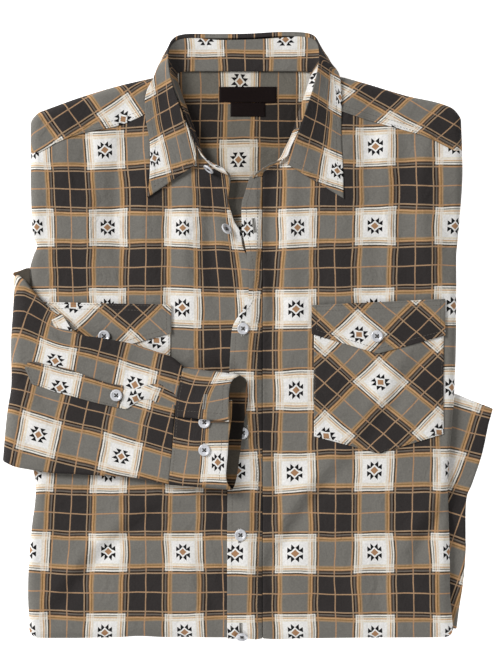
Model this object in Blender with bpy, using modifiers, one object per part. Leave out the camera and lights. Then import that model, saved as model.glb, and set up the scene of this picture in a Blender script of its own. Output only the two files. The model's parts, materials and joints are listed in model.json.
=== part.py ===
"""A man's long-sleeved checked shirt, folded for display.

The shirt lies on its folded back: the sides and the lower half are folded behind, the wearer's right
sleeve is brought round across the front, and the wearer's left sleeve shows from behind at +X. +X is
the wearer's left, +Y runs to the collar and +Z is up. Every cloth piece is a wall of its own, made
from an open surface with a Solidify modifier, or from rings where it is a flattened tube.

Lengths in the tables are millimetres. MM turns them into Blender's metres.
"""

from collections import namedtuple
import math

import bpy
import bmesh
import numpy as np

MM = 0.001

# Driving dimensions.
WALL = 1.2              # doubled and pressed shirting, the wall of every cloth piece
SEAM_GAP = 0.3          # room between two pieces that meet
PLY = WALL + SEAM_GAP   # rise from one piece to the piece that lies on it
STACK_INSET = 2.1       # the hidden layers stand this far inside the face of the fronts
FRONT_TOP = 14.6        # height of the fronts at the folds
PILLOW = 1.4            # extra height of the fronts at the middle of the chest
FOLD_Z = 7.2            # height of the outermost point of the body's folds
FOLD_R = 8.0            # plan depth of the rounding at the body's folds
CORNER_R = 9.0          # plan radius of the body's four corners
FOLD_ANGLES = (22.5, 45.0, 67.5, 90.0)
SKIRT_ANGLES = (98.0, 106.0)
SLEEVE_SLOT_Z = 5.4     # room under the body's edge where a sleeve comes out
SLEEVE_SLOT_DEPTH = 11.0
BUTTON_R = 5.7
BUTTON_H = 2.3

BODY = "checked_shirt"

# Side folds of the body, up the shirt: wearer's right at -X, wearer's left at +X.
SideRow = namedtuple("SideRow", "y right left")
SIDE_FOLDS = [
    SideRow(-290, -208.5, 195.5),
    SideRow(-268, -209.2, 193.8),
    SideRow(-247, -210.0, 192.0),
    SideRow(-225, -209.6, 191.8),
    SideRow(-202, -208.2, 191.5),
    SideRow(-179, -206.0, 190.8),
    SideRow(-160, -203.4, 190.2),
    SideRow(-142, -202.6, 190.0),
    SideRow(-125, -205.0, 190.8),
    SideRow(-61, -205.6, 195.6),
    SideRow(34, -205.6, 198.0),
    SideRow(76, -204.6, 197.8),
    SideRow(90, -205.2, 199.2),
    SideRow(120, -206.8, 201.8),
    SideRow(148, -207.4, 203.6),
    SideRow(212, -207.4, 202.2),
]

# The fold across the bottom of the shirt.
EndRow = namedtuple("EndRow", "x y")
BOTTOM_FOLD = [
    EndRow(-210, -288.2),
    EndRow(-130, -287.8),
    EndRow(-106, -286.2),
    EndRow(-80, -287.2),
    EndRow(0, -287.8),
    EndRow(28, -289.4),
    EndRow(60, -288.4),
    EndRow(196, -287.4),
]

# The fold along both shoulders and the back of the neck.
SHOULDER_FOLD = [
    EndRow(-208, 209.5),
    EndRow(-194, 214.6),
    EndRow(-157, 227.8),
    EndRow(-121, 238.4),
    EndRow(-93, 244.8),
    EndRow(-70, 250.0),
    EndRow(66, 250.0),
    EndRow(89, 246.0),
    EndRow(106, 241.5),
    EndRow(150, 228.4),
    EndRow(189, 218.8),
    EndRow(203, 212.5),
]

# Inner edges of the two fronts, up the shirt: under the placket, then the open neck and its curve.
FrontRow = namedtuple("FrontRow", "y right left")
FRONT_EDGES = [
    FrontRow(-290, 6.0, 13.5),
    FrontRow(60, 6.0, 13.5),
    FrontRow(84, -5.2, 13.5),
    FrontRow(102, -10.9, 13.5),
    FrontRow(117, -16.6, 13.5),
    FrontRow(134, -19.0, 13.5),
    FrontRow(153, -19.5, 13.5),
    FrontRow(163, -37.0, 24.0),
    FrontRow(177, -47.0, 35.5),
    FrontRow(195, -53.5, 44.5),
    FrontRow(218, -64.5, 54.0),
    FrontRow(236, -73.0, 63.5),
    FrontRow(251, -78.0, 69.5),
]

# Seam between each front and its yoke, from the neck outward.
YokeRow = namedtuple("YokeRow", "share right left")
YOKE_SEAM = [
    YokeRow(0.00, 228.0, 225.0),
    YokeRow(0.25, 212.0, 214.0),
    YokeRow(0.50, 199.0, 203.0),
    YokeRow(0.68, 194.0, 196.0),
    YokeRow(0.85, 186.0, 188.0),
    YokeRow(1.00, 174.5, 176.2),
]

# Free edge of the front placket, and its rise over the wearer's right front.
PlacketRow = namedtuple("PlacketRow", "y edge")
PLACKET_EDGE = [
    PlacketRow(-290, -20.4),
    PlacketRow(-213, -20.4),
    PlacketRow(-60, -18.6),
    PlacketRow(-4, -16.8),
    PlacketRow(9, -15.0),
    PlacketRow(22, -7.6),
    PlacketRow(35, 0.0),
    PlacketRow(60, 0.2),
    PlacketRow(85, -3.2),
    PlacketRow(102, -6.4),
    PlacketRow(124, -6.6),
    PlacketRow(136, -3.3),
    PlacketRow(152, 1.5),
]
PLACKET_SEAM_X = 13.2

# The hollow of the neck, down to the inside of the back.
NeckRow = namedtuple("NeckRow", "y right left depth")
NECK_HOLLOW = [
    NeckRow(-290, -22.0, 8.0, 0.0),
    NeckRow(84, -22.0, 2.0, 0.0),
    NeckRow(108, -22.0, 2.0, 7.5),
    NeckRow(140, -26.0, 4.0, 8.4),
    NeckRow(152, -34.0, 14.0, 8.6),
    NeckRow(163, -45.0, 30.0, 8.6),
    NeckRow(177, -54.0, 42.0, 8.6),
    NeckRow(195, -61.0, 51.0, 8.6),
    NeckRow(218, -70.0, 60.0, 8.6),
    NeckRow(236, -78.0, 68.0, 8.6),
    NeckRow(251, -81.0, 72.0, 8.6),
]
NECK_SLOPE = 4.0

# The collar's fall, from the wearer's right point round the back to the wearer's left point.
FallRow = namedtuple("FallRow", "roll_x roll_y roll_z edge_x edge_y edge_z lead")
COLLAR_FALL = [
    FallRow(-52.0, 161.0, 20.0, -96.4, 130.8, 17.6, 0.0),
    FallRow(-50.5, 174.0, 21.5, -94.0, 151.0, 17.6, 0.0),
    FallRow(-57.3, 195.4, 23.5, -93.8, 182.0, 17.6, 0.0),
    FallRow(-66.2, 218.3, 25.0, -98.2, 209.0, 17.6, 0.0),
    FallRow(-73.1, 238.6, 25.5, -97.6, 229.0, 17.6, 0.0),
    FallRow(-76.6, 255.0, 24.5, -90.6, 245.0, 17.4, 0.0),
    FallRow(-77.0, 268.0, 21.0, -84.6, 260.0, 13.5, 0.6),
    FallRow(-73.0, 281.0, 15.5, -77.0, 269.0, 7.0, 3.0),
    FallRow(-61.0, 287.3, 10.0, -60.0, 257.0, 1.9, 4.2),
    FallRow(-30.0, 287.6, 8.8, -30.0, 254.0, 1.5, 4.2),
    FallRow(0.0, 288.0, 8.6, 0.0, 253.5, 1.5, 4.2),
    FallRow(30.0, 289.6, 8.8, 28.0, 254.0, 1.5, 4.2),
    FallRow(56.0, 288.4, 10.0, 54.0, 257.0, 1.9, 4.2),
    FallRow(65.5, 281.5, 15.5, 71.0, 268.5, 7.0, 3.0),
    FallRow(68.0, 268.0, 21.0, 79.4, 258.4, 13.5, 0.6),
    FallRow(66.6, 254.0, 24.5, 86.4, 247.6, 17.4, 0.0),
    FallRow(62.0, 234.0, 25.5, 88.6, 226.0, 17.6, 0.0),
    FallRow(54.4, 211.0, 25.0, 88.2, 206.0, 17.6, 0.0),
    FallRow(48.4, 193.0, 23.5, 88.6, 183.0, 17.6, 0.0),
    FallRow(41.5, 178.0, 21.5, 89.8, 160.0, 17.6, 0.0),
    FallRow(37.6, 162.0, 20.0, 90.4, 130.2, 17.6, 0.0),
]

# The collar stand in the same order, with its tabs past the ends of the fall.
StandRow = namedtuple("StandRow", "seam_x seam_y seam_z top_x top_y top_z")
COLLAR_STAND = [
    StandRow(-18.8, 151.5, 17.0, -23.0, 158.5, 18.0),
    StandRow(-33.0, 159.5, 17.0, -39.0, 167.0, 18.6),
    StandRow(-43.0, 173.0, 17.0, -47.6, 177.0, 19.2),
    StandRow(-50.0, 193.0, 17.0, -54.6, 196.0, 21.0),
    StandRow(-58.0, 216.0, 15.6, -63.4, 219.0, 22.4),
    StandRow(-64.5, 235.0, 12.8, -70.2, 238.6, 22.8),
    StandRow(-65.5, 247.0, 10.0, -73.4, 254.6, 21.8),
    StandRow(-57.0, 251.0, 9.0, -72.6, 270.0, 17.0),
    StandRow(-46.0, 251.4, 8.8, -59.0, 280.6, 12.2),
    StandRow(-24.0, 251.4, 8.8, -29.0, 281.2, 11.2),
    StandRow(0.0, 251.4, 8.8, 0.0, 281.6, 11.0),
    StandRow(21.0, 251.4, 8.8, 28.0, 283.0, 11.2),
    StandRow(41.0, 251.4, 8.8, 53.4, 281.6, 12.2),
    StandRow(51.0, 251.0, 9.0, 63.4, 270.0, 17.0),
    StandRow(56.5, 246.0, 10.0, 63.2, 254.0, 21.8),
    StandRow(54.0, 232.0, 12.8, 58.8, 234.4, 22.8),
    StandRow(46.5, 210.0, 15.6, 51.4, 212.0, 22.4),
    StandRow(40.5, 192.0, 17.0, 45.4, 194.4, 21.0),
    StandRow(33.5, 178.5, 17.0, 38.2, 180.5, 19.2),
    StandRow(25.5, 167.5, 17.0, 32.0, 170.5, 18.6),
    StandRow(12.5, 158.0, 17.0, 19.0, 163.0, 18.2),
    StandRow(3.6, 149.8, 17.2, 7.0, 154.6, 18.0),
]

# Patch pockets and their flaps: two sides, the level of the top edge and the point at the foot.
PatchRow = namedtuple("PatchRow", "name inner outer top_inner top_outer foot_inner foot_outer tip_x tip lift")
PATCHES = [
    PatchRow("pocket_left", 62.2, 185.4, 7.0, 7.0, -95.8, -93.6, 124.0, -112.1, 1),
    PatchRow("pocket_flap_left", 59.9, 187.0, 28.8, 34.9, 1.5, 0.0, 122.6, -17.4, 2),
    PatchRow("pocket_right", -74.2, -198.4, 7.0, 7.0, -95.0, -95.0, -136.4, -112.0, 1),
    PatchRow("pocket_flap_right", -73.2, -200.0, 29.3, 32.0, 2.2, 2.4, -137.0, -15.7, 2),
]

# The wearer's right sleeve, from the fold beside the body to its cuff: upper and lower plan edges.
PlanRow = namedtuple("PlanRow", "x y")
SLEEVE_UPPER = [
    PlanRow(-223.4, 58.4), PlanRow(-216.4, 56.0), PlanRow(-203.0, 41.0), PlanRow(-186.9, 25.2),
    PlanRow(-177.7, 20.5), PlanRow(-168.3, 8.7), PlanRow(-163.0, 3.0), PlanRow(-138.4, -2.4),
    PlanRow(-109.1, -8.1), PlanRow(-86.9, -15.3), PlanRow(-73.0, -20.0), PlanRow(-62.0, -29.4),
]
SLEEVE_LOWER = [
    PlanRow(-234.1, -120.6), PlanRow(-224.3, -124.0), PlanRow(-205.7, -127.6), PlanRow(-186.1, -130.6),
    PlanRow(-163.4, -131.6), PlanRow(-142.1, -133.0), PlanRow(-116.4, -134.4), PlanRow(-104.3, -136.0),
    PlanRow(-75.5, -141.4),
]
SLEEVE_FOLD = [
    PlanRow(-223.4, 58.4), PlanRow(-223.8, 32.3), PlanRow(-226.2, -7.1), PlanRow(-225.8, -45.1),
    PlanRow(-229.8, -73.6), PlanRow(-234.1, -120.6),
]
SLEEVE_END = [PlanRow(-62.0, -29.4), PlanRow(-69.5, -70.0), PlanRow(-72.0, -105.0), PlanRow(-75.5, -141.4)]
SLEEVE_HALF = 3.1       # half the thickness of the flattened sleeve
SLEEVE_CUFF_HALF = 4.2  # the same where the cuff is sewn on
SLEEVE_UNDER_HALF = 2.3  # the same where the body lies on it
FOLD_SHARE = 0.07       # share of the sleeve's plan length that the fold beside the body takes
SLEEVE_TUCK = 22.0      # how far the sleeve runs back in under the body's edge
CAVITY_START = 0.24     # the hollow of the sleeve is pressed shut before this share of its length

# The cuff: plan edges from the sleeve seam to the mouth, for its upper and its lower layer.
CuffRow = namedtuple("CuffRow", "share seam_x upper_x lower_x y_seam y_mouth")
CUFF = [
    CuffRow(0.00, -61.6, -10.5, -7.0, -30.4, -36.8),
    CuffRow(0.10, -63.4, -16.6, -1.4, -40.8, -44.4),
    CuffRow(0.25, -67.0, -18.7, -0.4, -57.4, -60.0),
    CuffRow(0.45, -69.4, -18.7, -4.6, -79.8, -84.6),
    CuffRow(0.70, -71.6, -19.8, -8.2, -107.6, -112.8),
    CuffRow(0.90, -74.0, -21.0, -11.6, -130.6, -136.0),
    CuffRow(1.00, -75.1, -16.8, -14.4, -141.6, -146.6),
]
CUFF_MOUTH_HALF = 7.4
CUFF_FLAP = 44.0        # from the cuff's upper fold down to the edge of its buttonhole end
CUFF_UNDERLAP = 15.0    # how far the button end runs on beneath the buttonhole end

# The placket of the sleeve: its two edges over the sleeve, toward the cuff.
GauntletRow = namedtuple("GauntletRow", "x upper lower")
GAUNTLET = [
    GauntletRow(-207.0, -26.4, -43.5),
    GauntletRow(-194.0, -27.0, -50.0),
    GauntletRow(-169.0, -32.2, -58.2),
    GauntletRow(-150.0, -39.4, -62.6),
    GauntletRow(-130.0, -45.8, -67.2),
    GauntletRow(-118.6, -47.4, -69.8),
]

# The wearer's left sleeve where it shows beyond the body: its outer fold down the shirt.
LEFT_SLEEVE = [
    PlanRow(233.0, -69.6), PlanRow(231.0, -77.0), PlanRow(228.5, -86.0), PlanRow(222.6, -113.3),
    PlanRow(213.5, -140.6), PlanRow(207.6, -157.2), PlanRow(207.0, -193.6), PlanRow(207.2, -202.0),
    PlanRow(205.1, -232.0), PlanRow(200.8, -260.0), PlanRow(199.4, -271.0), PlanRow(198.4, -279.5),
]
LEFT_SLEEVE_TOP = 4.7
LEFT_SLEEVE_RISE = 14.0  # its upper end slants up toward the body

# Buttons: plan place, what each is sewn to, and its tilt about X and Y in degrees.
ButtonRow = namedtuple("ButtonRow", "name x y on tilt_x tilt_y")
BUTTONS = [
    ButtonRow("button_front_1", -20.6, 101.2, "front", 0, -14),
    ButtonRow("button_front_2", -5.2, 6.6, "placket", 0, 0),
    ButtonRow("button_front_3", -2.9, -92.6, "placket", 0, 0),
    ButtonRow("button_front_4", -7.6, -189.5, "placket", 0, 0),
    ButtonRow("button_front_5", -6.2, -284.4, "placket", 48, 0),
    ButtonRow("button_pocket_left", 122.0, -0.6, "flap", 0, 0),
    ButtonRow("button_pocket_right", -137.2, -0.6, "flap", 0, 0),
    ButtonRow("button_sleeve", -125.4, -56.7, "gauntlet", 0, 0),
    ButtonRow("button_cuff_1", -41.7, -82.2, "underlap", 0, -7),
    ButtonRow("button_cuff_2", -41.7, -108.5, "cuff", 0, -7),
]

# Labels inside the neck.
LabelRow = namedtuple("LabelRow", "name x_right x_left y_low y_high")
LABELS = [
    LabelRow("neck_label", -28.0, 26.7, 222.0, 236.8),
    LabelRow("size_label", -17.2, 15.9, 208.4, 221.7),
]

COLOURS = {
    "cloth": (0.25, 0.22, 0.20),
    "lining": (0.16, 0.14, 0.13),
    "label": (0.02, 0.01, 0.01),
    "button": (0.80, 0.78, 0.76),
}


def column(table, name):
    """Return one named column of a table as an array."""
    return np.array([getattr(row, name) for row in table], float)


def read(table, at, places, name):
    """Read a table's column at a value of its places column, in straight steps."""
    return np.interp(at, column(table, places), column(table, name))


def side_x(y, side):
    """Plan x of the body's side fold at a height up the shirt."""
    return read(SIDE_FOLDS, y, "y", "left" if side > 0 else "right")


def end_y(x, end):
    """Plan y of the shoulder fold (end 1) or the bottom fold (end -1)."""
    return read(SHOULDER_FOLD if end > 0 else BOTTOM_FOLD, x, "x", "y")


def crown(x, y):
    """Height of the top of the fronts, away from the folds."""
    across = 1.0 - min(1.0, abs(x) / 205.0) ** 2
    along = 1.0 - min(1.0, abs(y + 30.0) / 260.0) ** 2
    return FRONT_TOP + PILLOW * across * along


def fold_share(distance, radius):
    """Share of the full height at a plan distance in from a fold."""
    if distance >= radius:
        return 1.0
    return math.sqrt(max(0.0, 1.0 - (1.0 - max(distance, 0.0) / radius) ** 2))


def rounded_corner(from_side, from_end, radius):
    """Move a point of a square corner onto a round one, as distances from the two folds."""
    if from_side >= radius or from_end >= radius:
        return from_side, from_end
    across = 1.0 - from_side / radius
    along = 1.0 - from_end / radius
    new_across = across * math.sqrt(1.0 - along ** 2 / 2.0)
    new_along = along * math.sqrt(1.0 - across ** 2 / 2.0)
    return radius * (1.0 - new_across), radius * (1.0 - new_along)


def body_point(x, y, lift=0.0, drop=0.0):
    """Point of the body's upper face, lifted square to it and lowered away from its folds."""
    side = 1 if x > 0 else -1
    end = 1 if y > 0 else -1
    from_side = side * (side_x(y, side) - x) + lift
    from_end = end * (end_y(x, end) - y) + lift
    radius = FOLD_R + lift
    share = fold_share(from_side, radius) * fold_share(from_end, radius)
    z = FOLD_Z + (crown(x, y) + lift - drop - FOLD_Z) * share
    new_side, new_end = rounded_corner(from_side, from_end, CORNER_R + lift)
    return x + side * (from_side - new_side), y + end * (from_end - new_end), z


def stations(start, stop, count, start_fold, stop_fold, radius):
    """Places from start to stop, close together where the cloth turns down a fold."""
    way = 1.0 if stop > start else -1.0
    steps = [radius * (1.0 - math.sin(math.radians(angle))) for angle in FOLD_ANGLES]
    first = start + way * radius * start_fold
    last = stop - way * radius * stop_fold
    places = list(np.linspace(first, last, count))
    if start_fold:
        places = [start + way * step for step in reversed(steps)] + places
    if stop_fold:
        places = places + [stop - way * step for step in steps]
    return places


def body_grid(inner, low, high, side, columns, rows, low_fold, high_fold, lift=0.0):
    """Rows of plan points from a panel's inner edge out to the body's side fold."""
    radius = FOLD_R + lift
    shares = np.linspace(0.0, 1.0, columns)
    shares = list(shares) + [1.0] * len(FOLD_ANGLES)
    grid = []
    row_total = len(stations(0, 1, rows, low_fold, high_fold, radius))
    for row in range(row_total):
        points = []
        for index, share in enumerate(shares):
            x = inner(0.0) * (1.0 - share) + side_x(0.0, side) * share
            y = 0.0
            for _ in range(4):
                levels = stations(low(share, x), high(share, x), rows, low_fold, high_fold, radius)
                y = levels[row]
                edge = side_x(y, side) + side * lift
                x = stations(inner(y), edge, columns, False, True, radius)[index]
            points.append((x, y))
        grid.append(points)
    return grid


def new_material(name, colour):
    """A plain Principled material in one of the shirt's own colours."""
    material = bpy.data.materials.new(name)
    material.use_nodes = True
    shader = material.node_tree.nodes["Principled BSDF"]
    shader.inputs["Base Color"].default_value = (*COLOURS[colour], 1.0)
    shader.inputs["Roughness"].default_value = 0.35 if colour == "button" else 0.85
    shader.inputs["Metallic"].default_value = 0.0
    material.diffuse_color = (*COLOURS[colour], 1.0)
    return material


def add_object(name, points, faces, colour, collection):
    """Make a mesh object from millimetre points."""
    mesh = bpy.data.meshes.new(name)
    mesh.from_pydata([tuple(value * MM for value in point) for point in points], [], faces)
    mesh.materials.append(new_material(name, colour))
    item = bpy.data.objects.new(name, mesh)
    collection.objects.link(item)
    return item


def grid_faces(rows, columns):
    """Quads of a grid whose points run row by row."""
    return [
        (row * columns + col, row * columns + col + 1, (row + 1) * columns + col + 1, (row + 1) * columns + col)
        for row in range(rows - 1)
        for col in range(columns - 1)
    ]


def turn_normals(item, wanted):
    """Reverse the faces of an open sheet unless they point the wanted way on average."""
    mesh = item.data
    total = sum((polygon.normal * polygon.area for polygon in mesh.polygons), start=mesh.polygons[0].normal * 0)
    if total.dot(wanted) < 0:
        mesh.flip_normals()


def thicken(item, wall=WALL):
    """Give an open sheet its wall, on the side away from its normals."""
    item.data.shade_smooth()
    solidify = item.modifiers.new("wall", "SOLIDIFY")
    solidify.thickness = wall * MM
    solidify.offset = -1.0
    solidify.use_even_offset = True
    return item


def sheet(name, grid, colour, collection, up=(0.0, 0.0, 1.0), wall=WALL):
    """A cloth wall under a grid of points."""
    rows, columns = len(grid), len(grid[0])
    points = [point for row in grid for point in row]
    item = add_object(name, points, grid_faces(rows, columns), colour, collection)
    turn_normals(item, item.data.polygons[0].normal.__class__(up))
    return thicken(item, wall)


def outward(chain, closed):
    """Plan normals along a chain of points, on the right of its way."""
    normals = []
    count = len(chain)
    for index in range(count):
        before = chain[index - 1] if closed or index else chain[0]
        after = chain[(index + 1) % count] if closed or index < count - 1 else chain[-1]
        along = np.array(after[:2]) - np.array(before[:2])
        along /= np.linalg.norm(along)
        normals.append((along[1], -along[0]))
    return normals


def body_panel(name, grid, chain_ids, collection, lift=0.0):
    """A panel of the body, turned down round its folds by a skirt along the chain."""
    rows, columns = len(grid), len(grid[0])
    points = [body_point(x, y, lift) for row in grid for x, y in row]
    faces = grid_faces(rows, columns)
    ids = [row * columns + col for row, col in chain_ids]
    chain = [points[index] for index in ids]
    normals = outward(chain, closed=False)
    middle = np.mean(np.array(points)[:, :2], axis=0)
    way = np.array(chain[len(chain) // 2][:2]) - middle
    if np.dot(way, normals[len(chain) // 2]) < 0:
        normals = [(-x, -y) for x, y in normals]
    for angle in SKIRT_ANGLES:
        inset = (FOLD_R + lift) * (1.0 - math.sin(math.radians(angle)))
        fall = (FRONT_TOP + lift - FOLD_Z) * math.cos(math.radians(angle))
        start = len(points)
        for (x, y, _), (out_x, out_y) in zip(chain, normals):
            points.append((x - out_x * inset, y - out_y * inset, FOLD_Z + fall))
        fresh = list(range(start, start + len(chain)))
        for here in range(len(chain) - 1):
            faces.append((ids[here], ids[here + 1], fresh[here + 1], fresh[here]))
        ids = fresh
    item = add_object(name, points, faces, "cloth", collection)
    mesh = bmesh.new()
    mesh.from_mesh(item.data)
    bmesh.ops.recalc_face_normals(mesh, faces=mesh.faces[:])
    mesh.to_mesh(item.data)
    mesh.free()
    turn_normals(item, item.data.polygons[0].normal.__class__((0.0, 0.0, 1.0)))
    return thicken(item)


def build_fronts(collection):
    """Both fronts, from the hem fold up to the yoke seams."""
    for side, name in ((-1, "right"), (1, "left")):
        grid = body_grid(
            inner=lambda y: read(FRONT_EDGES, y, "y", name),
            low=lambda share, x: end_y(x, -1),
            high=lambda share, x: read(YOKE_SEAM, share, "share", name) - SEAM_GAP,
            side=side, columns=9, rows=17, low_fold=True, high_fold=False,
        )
        rows, columns = len(grid), len(grid[0])
        chain = [(0, col) for col in range(columns)] + [(row, columns - 1) for row in range(1, rows)]
        body_panel("front_" + name, grid, chain, collection)


def build_yokes(collection):
    """Both front yokes, from their seams over the shoulder fold."""
    for side, name in ((-1, "right"), (1, "left")):
        grid = body_grid(
            inner=lambda y: read(FRONT_EDGES, y, "y", name),
            low=lambda share, x: read(YOKE_SEAM, share, "share", name),
            high=lambda share, x: end_y(x, 1),
            side=side, columns=8, rows=3, low_fold=False, high_fold=True,
        )
        rows, columns = len(grid), len(grid[0])
        chain = [(row, columns - 1) for row in range(rows)]
        chain += [(rows - 1, col) for col in range(columns - 2, -1, -1)]
        body_panel("yoke_" + name, grid, chain, collection)


def placket_lift(x):
    """Rise of the front placket over the wearer's right front, gone at its own seam."""
    return PLY * float(np.interp(x, (7.0, PLACKET_SEAM_X), (1.0, 0.0)))


def placket_point(x, y):
    """Point on the upper face of the front placket."""
    return body_point(x, y, placket_lift(x))


def build_placket(collection):
    """The front placket, a strip sewn along the wearer's left front."""
    levels = stations(end_y(0, -1) - PLY, 151.0, 24, True, False, FOLD_R + PLY)
    grid = []
    for angle in reversed(SKIRT_ANGLES):
        turn = math.radians(angle)
        row = []
        for x in (-20.4, -8.0, 3.0, 7.0, PLACKET_SEAM_X):
            lift = placket_lift(x)
            y = end_y(x, -1) - lift + (FOLD_R + lift) * (1.0 - math.sin(turn))
            row.append((x, y, FOLD_Z + (FRONT_TOP + lift - FOLD_Z) * math.cos(turn)))
        grid.append(row)
    for y in levels:
        edge = read(PLACKET_EDGE, y, "y", "edge")
        row = []
        for x in (edge, edge * 0.6 + 2.0, 3.4, 7.0, PLACKET_SEAM_X):
            shift = (PLY - placket_lift(x)) * (1.0 if y < -270 else 0.0)
            row.append(placket_point(x, y + shift))
        grid.append(row)
    sheet("front_placket", grid, "cloth", collection)


def hidden_edge_profile(slot):
    """The stack's edge: plan inset and height down its side, with the rounded edges of two more layers."""
    tuck = SLEEVE_SLOT_DEPTH * slot
    return [
        (2.3, 6.4),
        (2.8 + tuck, SLEEVE_SLOT_Z),
        (1.0 + tuck, 4.5),
        (1.0 + tuck, 3.3),
        (2.7 + tuck, 2.7),
        (1.1 + tuck, 2.1),
        (0.9 + tuck, 0.8),
        (2.0 + tuck, 0.0),
    ]


def slot_share(x, y):
    """How far the stack's lower layers stand back, so that a sleeve can come out from under the body."""
    if x > 0:
        return float(np.interp(y, (-292, -291, -50, -42), (0.9, 1.0, 1.0, 0.0)))
    return float(np.interp(y, (-134, -126, 62, 70), (0.0, 1.0, 1.0, 0.0)))


def hidden_levels(low, high):
    """Places up the stack: plain ones below the neck, then the rows of its hollow, squeezed under the shoulder."""
    radius = FOLD_R - STACK_INSET
    hollow = [row.y for row in NECK_HOLLOW if 0 < row.y < end_y(0, 1) - FOLD_R]
    foot = hollow[0]
    squeeze = (high - radius - foot) / (end_y(0, 1) - FOLD_R - foot)
    levels = stations(low, foot, 9, True, False, radius)[:-1]
    levels += [foot + (y - foot) * squeeze for y in hollow]
    return levels + stations(foot, high, 2, False, True, radius)[1:]


def build_hidden_layers(collection):
    """The folded back, sides and lower half: one rounded stack with a hollow at the neck."""
    inset = STACK_INSET
    radius = FOLD_R - inset
    rows = len(hidden_levels(-280.0, 240.0))
    grid = []
    for row in range(rows):
        line = []
        for index in range(26):
            x, y = 0.0, 0.0
            for _ in range(4):
                y = hidden_levels(end_y(x, -1) + inset, end_y(x, 1) - inset)[row]
                right = read(NECK_HOLLOW, y, "y", "right")
                left = read(NECK_HOLLOW, y, "y", "left")
                across = stations(side_x(y, -1) + inset, right - NECK_SLOPE, 7, True, False, radius)
                across += list(np.linspace(right, left, 4))
                across += stations(left + NECK_SLOPE, side_x(y, 1) - inset, 7, False, True, radius)
                x = across[index]
            depth = read(NECK_HOLLOW, y, "y", "depth") if 11 <= index <= 14 else 0.0
            line.append(body_point(x, y, lift=-inset, drop=depth))
        grid.append(line)
    columns = len(grid[0])
    points = [point for line in grid for point in line]
    faces = grid_faces(rows, columns)
    loop = [(0, col) for col in range(columns)]
    loop += [(row, columns - 1) for row in range(1, rows)]
    loop += [(rows - 1, col) for col in range(columns - 2, -1, -1)]
    loop += [(row, 0) for row in range(rows - 2, 0, -1)]
    ids = [row * columns + col for row, col in loop]
    chain = [points[index] for index in ids]
    normals = outward(chain, closed=True)
    for step in range(len(hidden_edge_profile(0.0))):
        start = len(points)
        for (x, y, _), (out_x, out_y) in zip(chain, normals):
            at_side = abs(out_x) > 0.7
            depth, z = hidden_edge_profile(slot_share(x, y) if at_side else 0.0)[step]
            points.append((x - out_x * (depth - inset), y - out_y * (depth - inset), z))
        fresh = list(range(start, start + len(chain)))
        count = len(chain)
        for here in range(count):
            there = (here + 1) % count
            faces.append((ids[there], ids[here], fresh[here], fresh[there]))
        ids = fresh
    faces.append(tuple(ids))
    item = add_object("hidden_layers", points, faces, "lining", collection)
    mesh = bmesh.new()
    mesh.from_mesh(item.data)
    bmesh.ops.recalc_face_normals(mesh, faces=mesh.faces[:])
    mesh.to_mesh(item.data)
    mesh.free()


def build_inner_back(collection):
    """The inside of the back and its yoke, seen down the neck."""
    grid = []
    levels = [row.y for row in NECK_HOLLOW if row.depth > 0.0 and row.y < 250.0] + [242.0, 245.6]
    for y in levels:
        narrow = 15.0 if y > 240.0 else 1.5
        right = read(NECK_HOLLOW, y, "y", "right") + narrow
        left = read(NECK_HOLLOW, y, "y", "left") - narrow
        depth = read(NECK_HOLLOW, y, "y", "depth")
        row = []
        for x in np.linspace(right, left, 7):
            _, _, z = body_point(x, y, lift=-STACK_INSET, drop=depth)
            row.append((x, y, z + PLY + 2 * SEAM_GAP + (0.6 if y > 240.0 else 0.0)))
        grid.append(row)
    sheet("back_yoke_inside", grid, "lining", collection)


def spline_rows(table, count):
    """Rows read evenly along a table by a smooth curve through its own rows."""
    values = np.array(table, float)
    slopes = np.gradient(values, axis=0)
    read_at = np.linspace(0, len(table) - 1, count)
    rows = []
    for at in read_at:
        low = min(int(at), len(table) - 2)
        t = at - low
        rows.append(
            (2 * t ** 3 - 3 * t ** 2 + 1) * values[low]
            + (t ** 3 - 2 * t ** 2 + t) * slopes[low]
            + (3 * t ** 2 - 2 * t ** 3) * values[low + 1]
            + (t ** 3 - t ** 2) * slopes[low + 1]
        )
    return rows


def build_collar(collection):
    """The fall with its two points, and the stand that it is sewn to."""
    grid = []
    for row in spline_rows(COLLAR_FALL, 37):
        roll, edge, lead = row[:3], row[3:6], row[6]
        line = [tuple(roll + np.array((0.0, -max(lead, 0.0), 0.6 * max(lead, 0.0) + 0.4)))]
        roll = roll + (edge - roll) * 0.015
        for share in (0.0, 0.06, 0.18, 0.4, 0.7, 1.0):
            point = roll * (1.0 - share) + edge * share
            point[2] = edge[2] + (roll[2] - edge[2]) * (1.0 - share) ** 1.6
            line.append(tuple(point))
        grid.append(line)
    sheet("collar_fall", grid, "cloth", collection)
    grid = []
    for row in spline_rows(COLLAR_STAND, 37):
        seam, top = row[:3], row[3:]
        grid.append([tuple(seam * (1.0 - share) + top * share) for share in (0.0, 0.33, 0.67, 1.0)])
    sheet("collar_stand", grid, "cloth", collection)


def build_patches(collection):
    """Both chest pockets and their pointed flaps."""
    for patch in PATCHES:
        grid = []
        for share in np.linspace(0.0, 1.0, 7):
            row = []
            for across in (0.0, 0.17, 0.34, 0.5, 0.66, 0.83, 1.0):
                x = patch.inner * (1.0 - across) + patch.outer * across
                top = patch.top_inner * (1.0 - across) + patch.top_outer * across
                spots = (0.0, abs(patch.tip_x - patch.inner) / abs(patch.outer - patch.inner), 1.0)
                foot = float(np.interp(across, spots, (patch.foot_inner, patch.tip, patch.foot_outer)))
                y = foot * (1.0 - share) + top * share
                row.append((x, y, crown(x, y) + PLY * patch.lift))
            grid.append(row)
        sheet(patch.name, grid, "cloth", collection)


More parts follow.
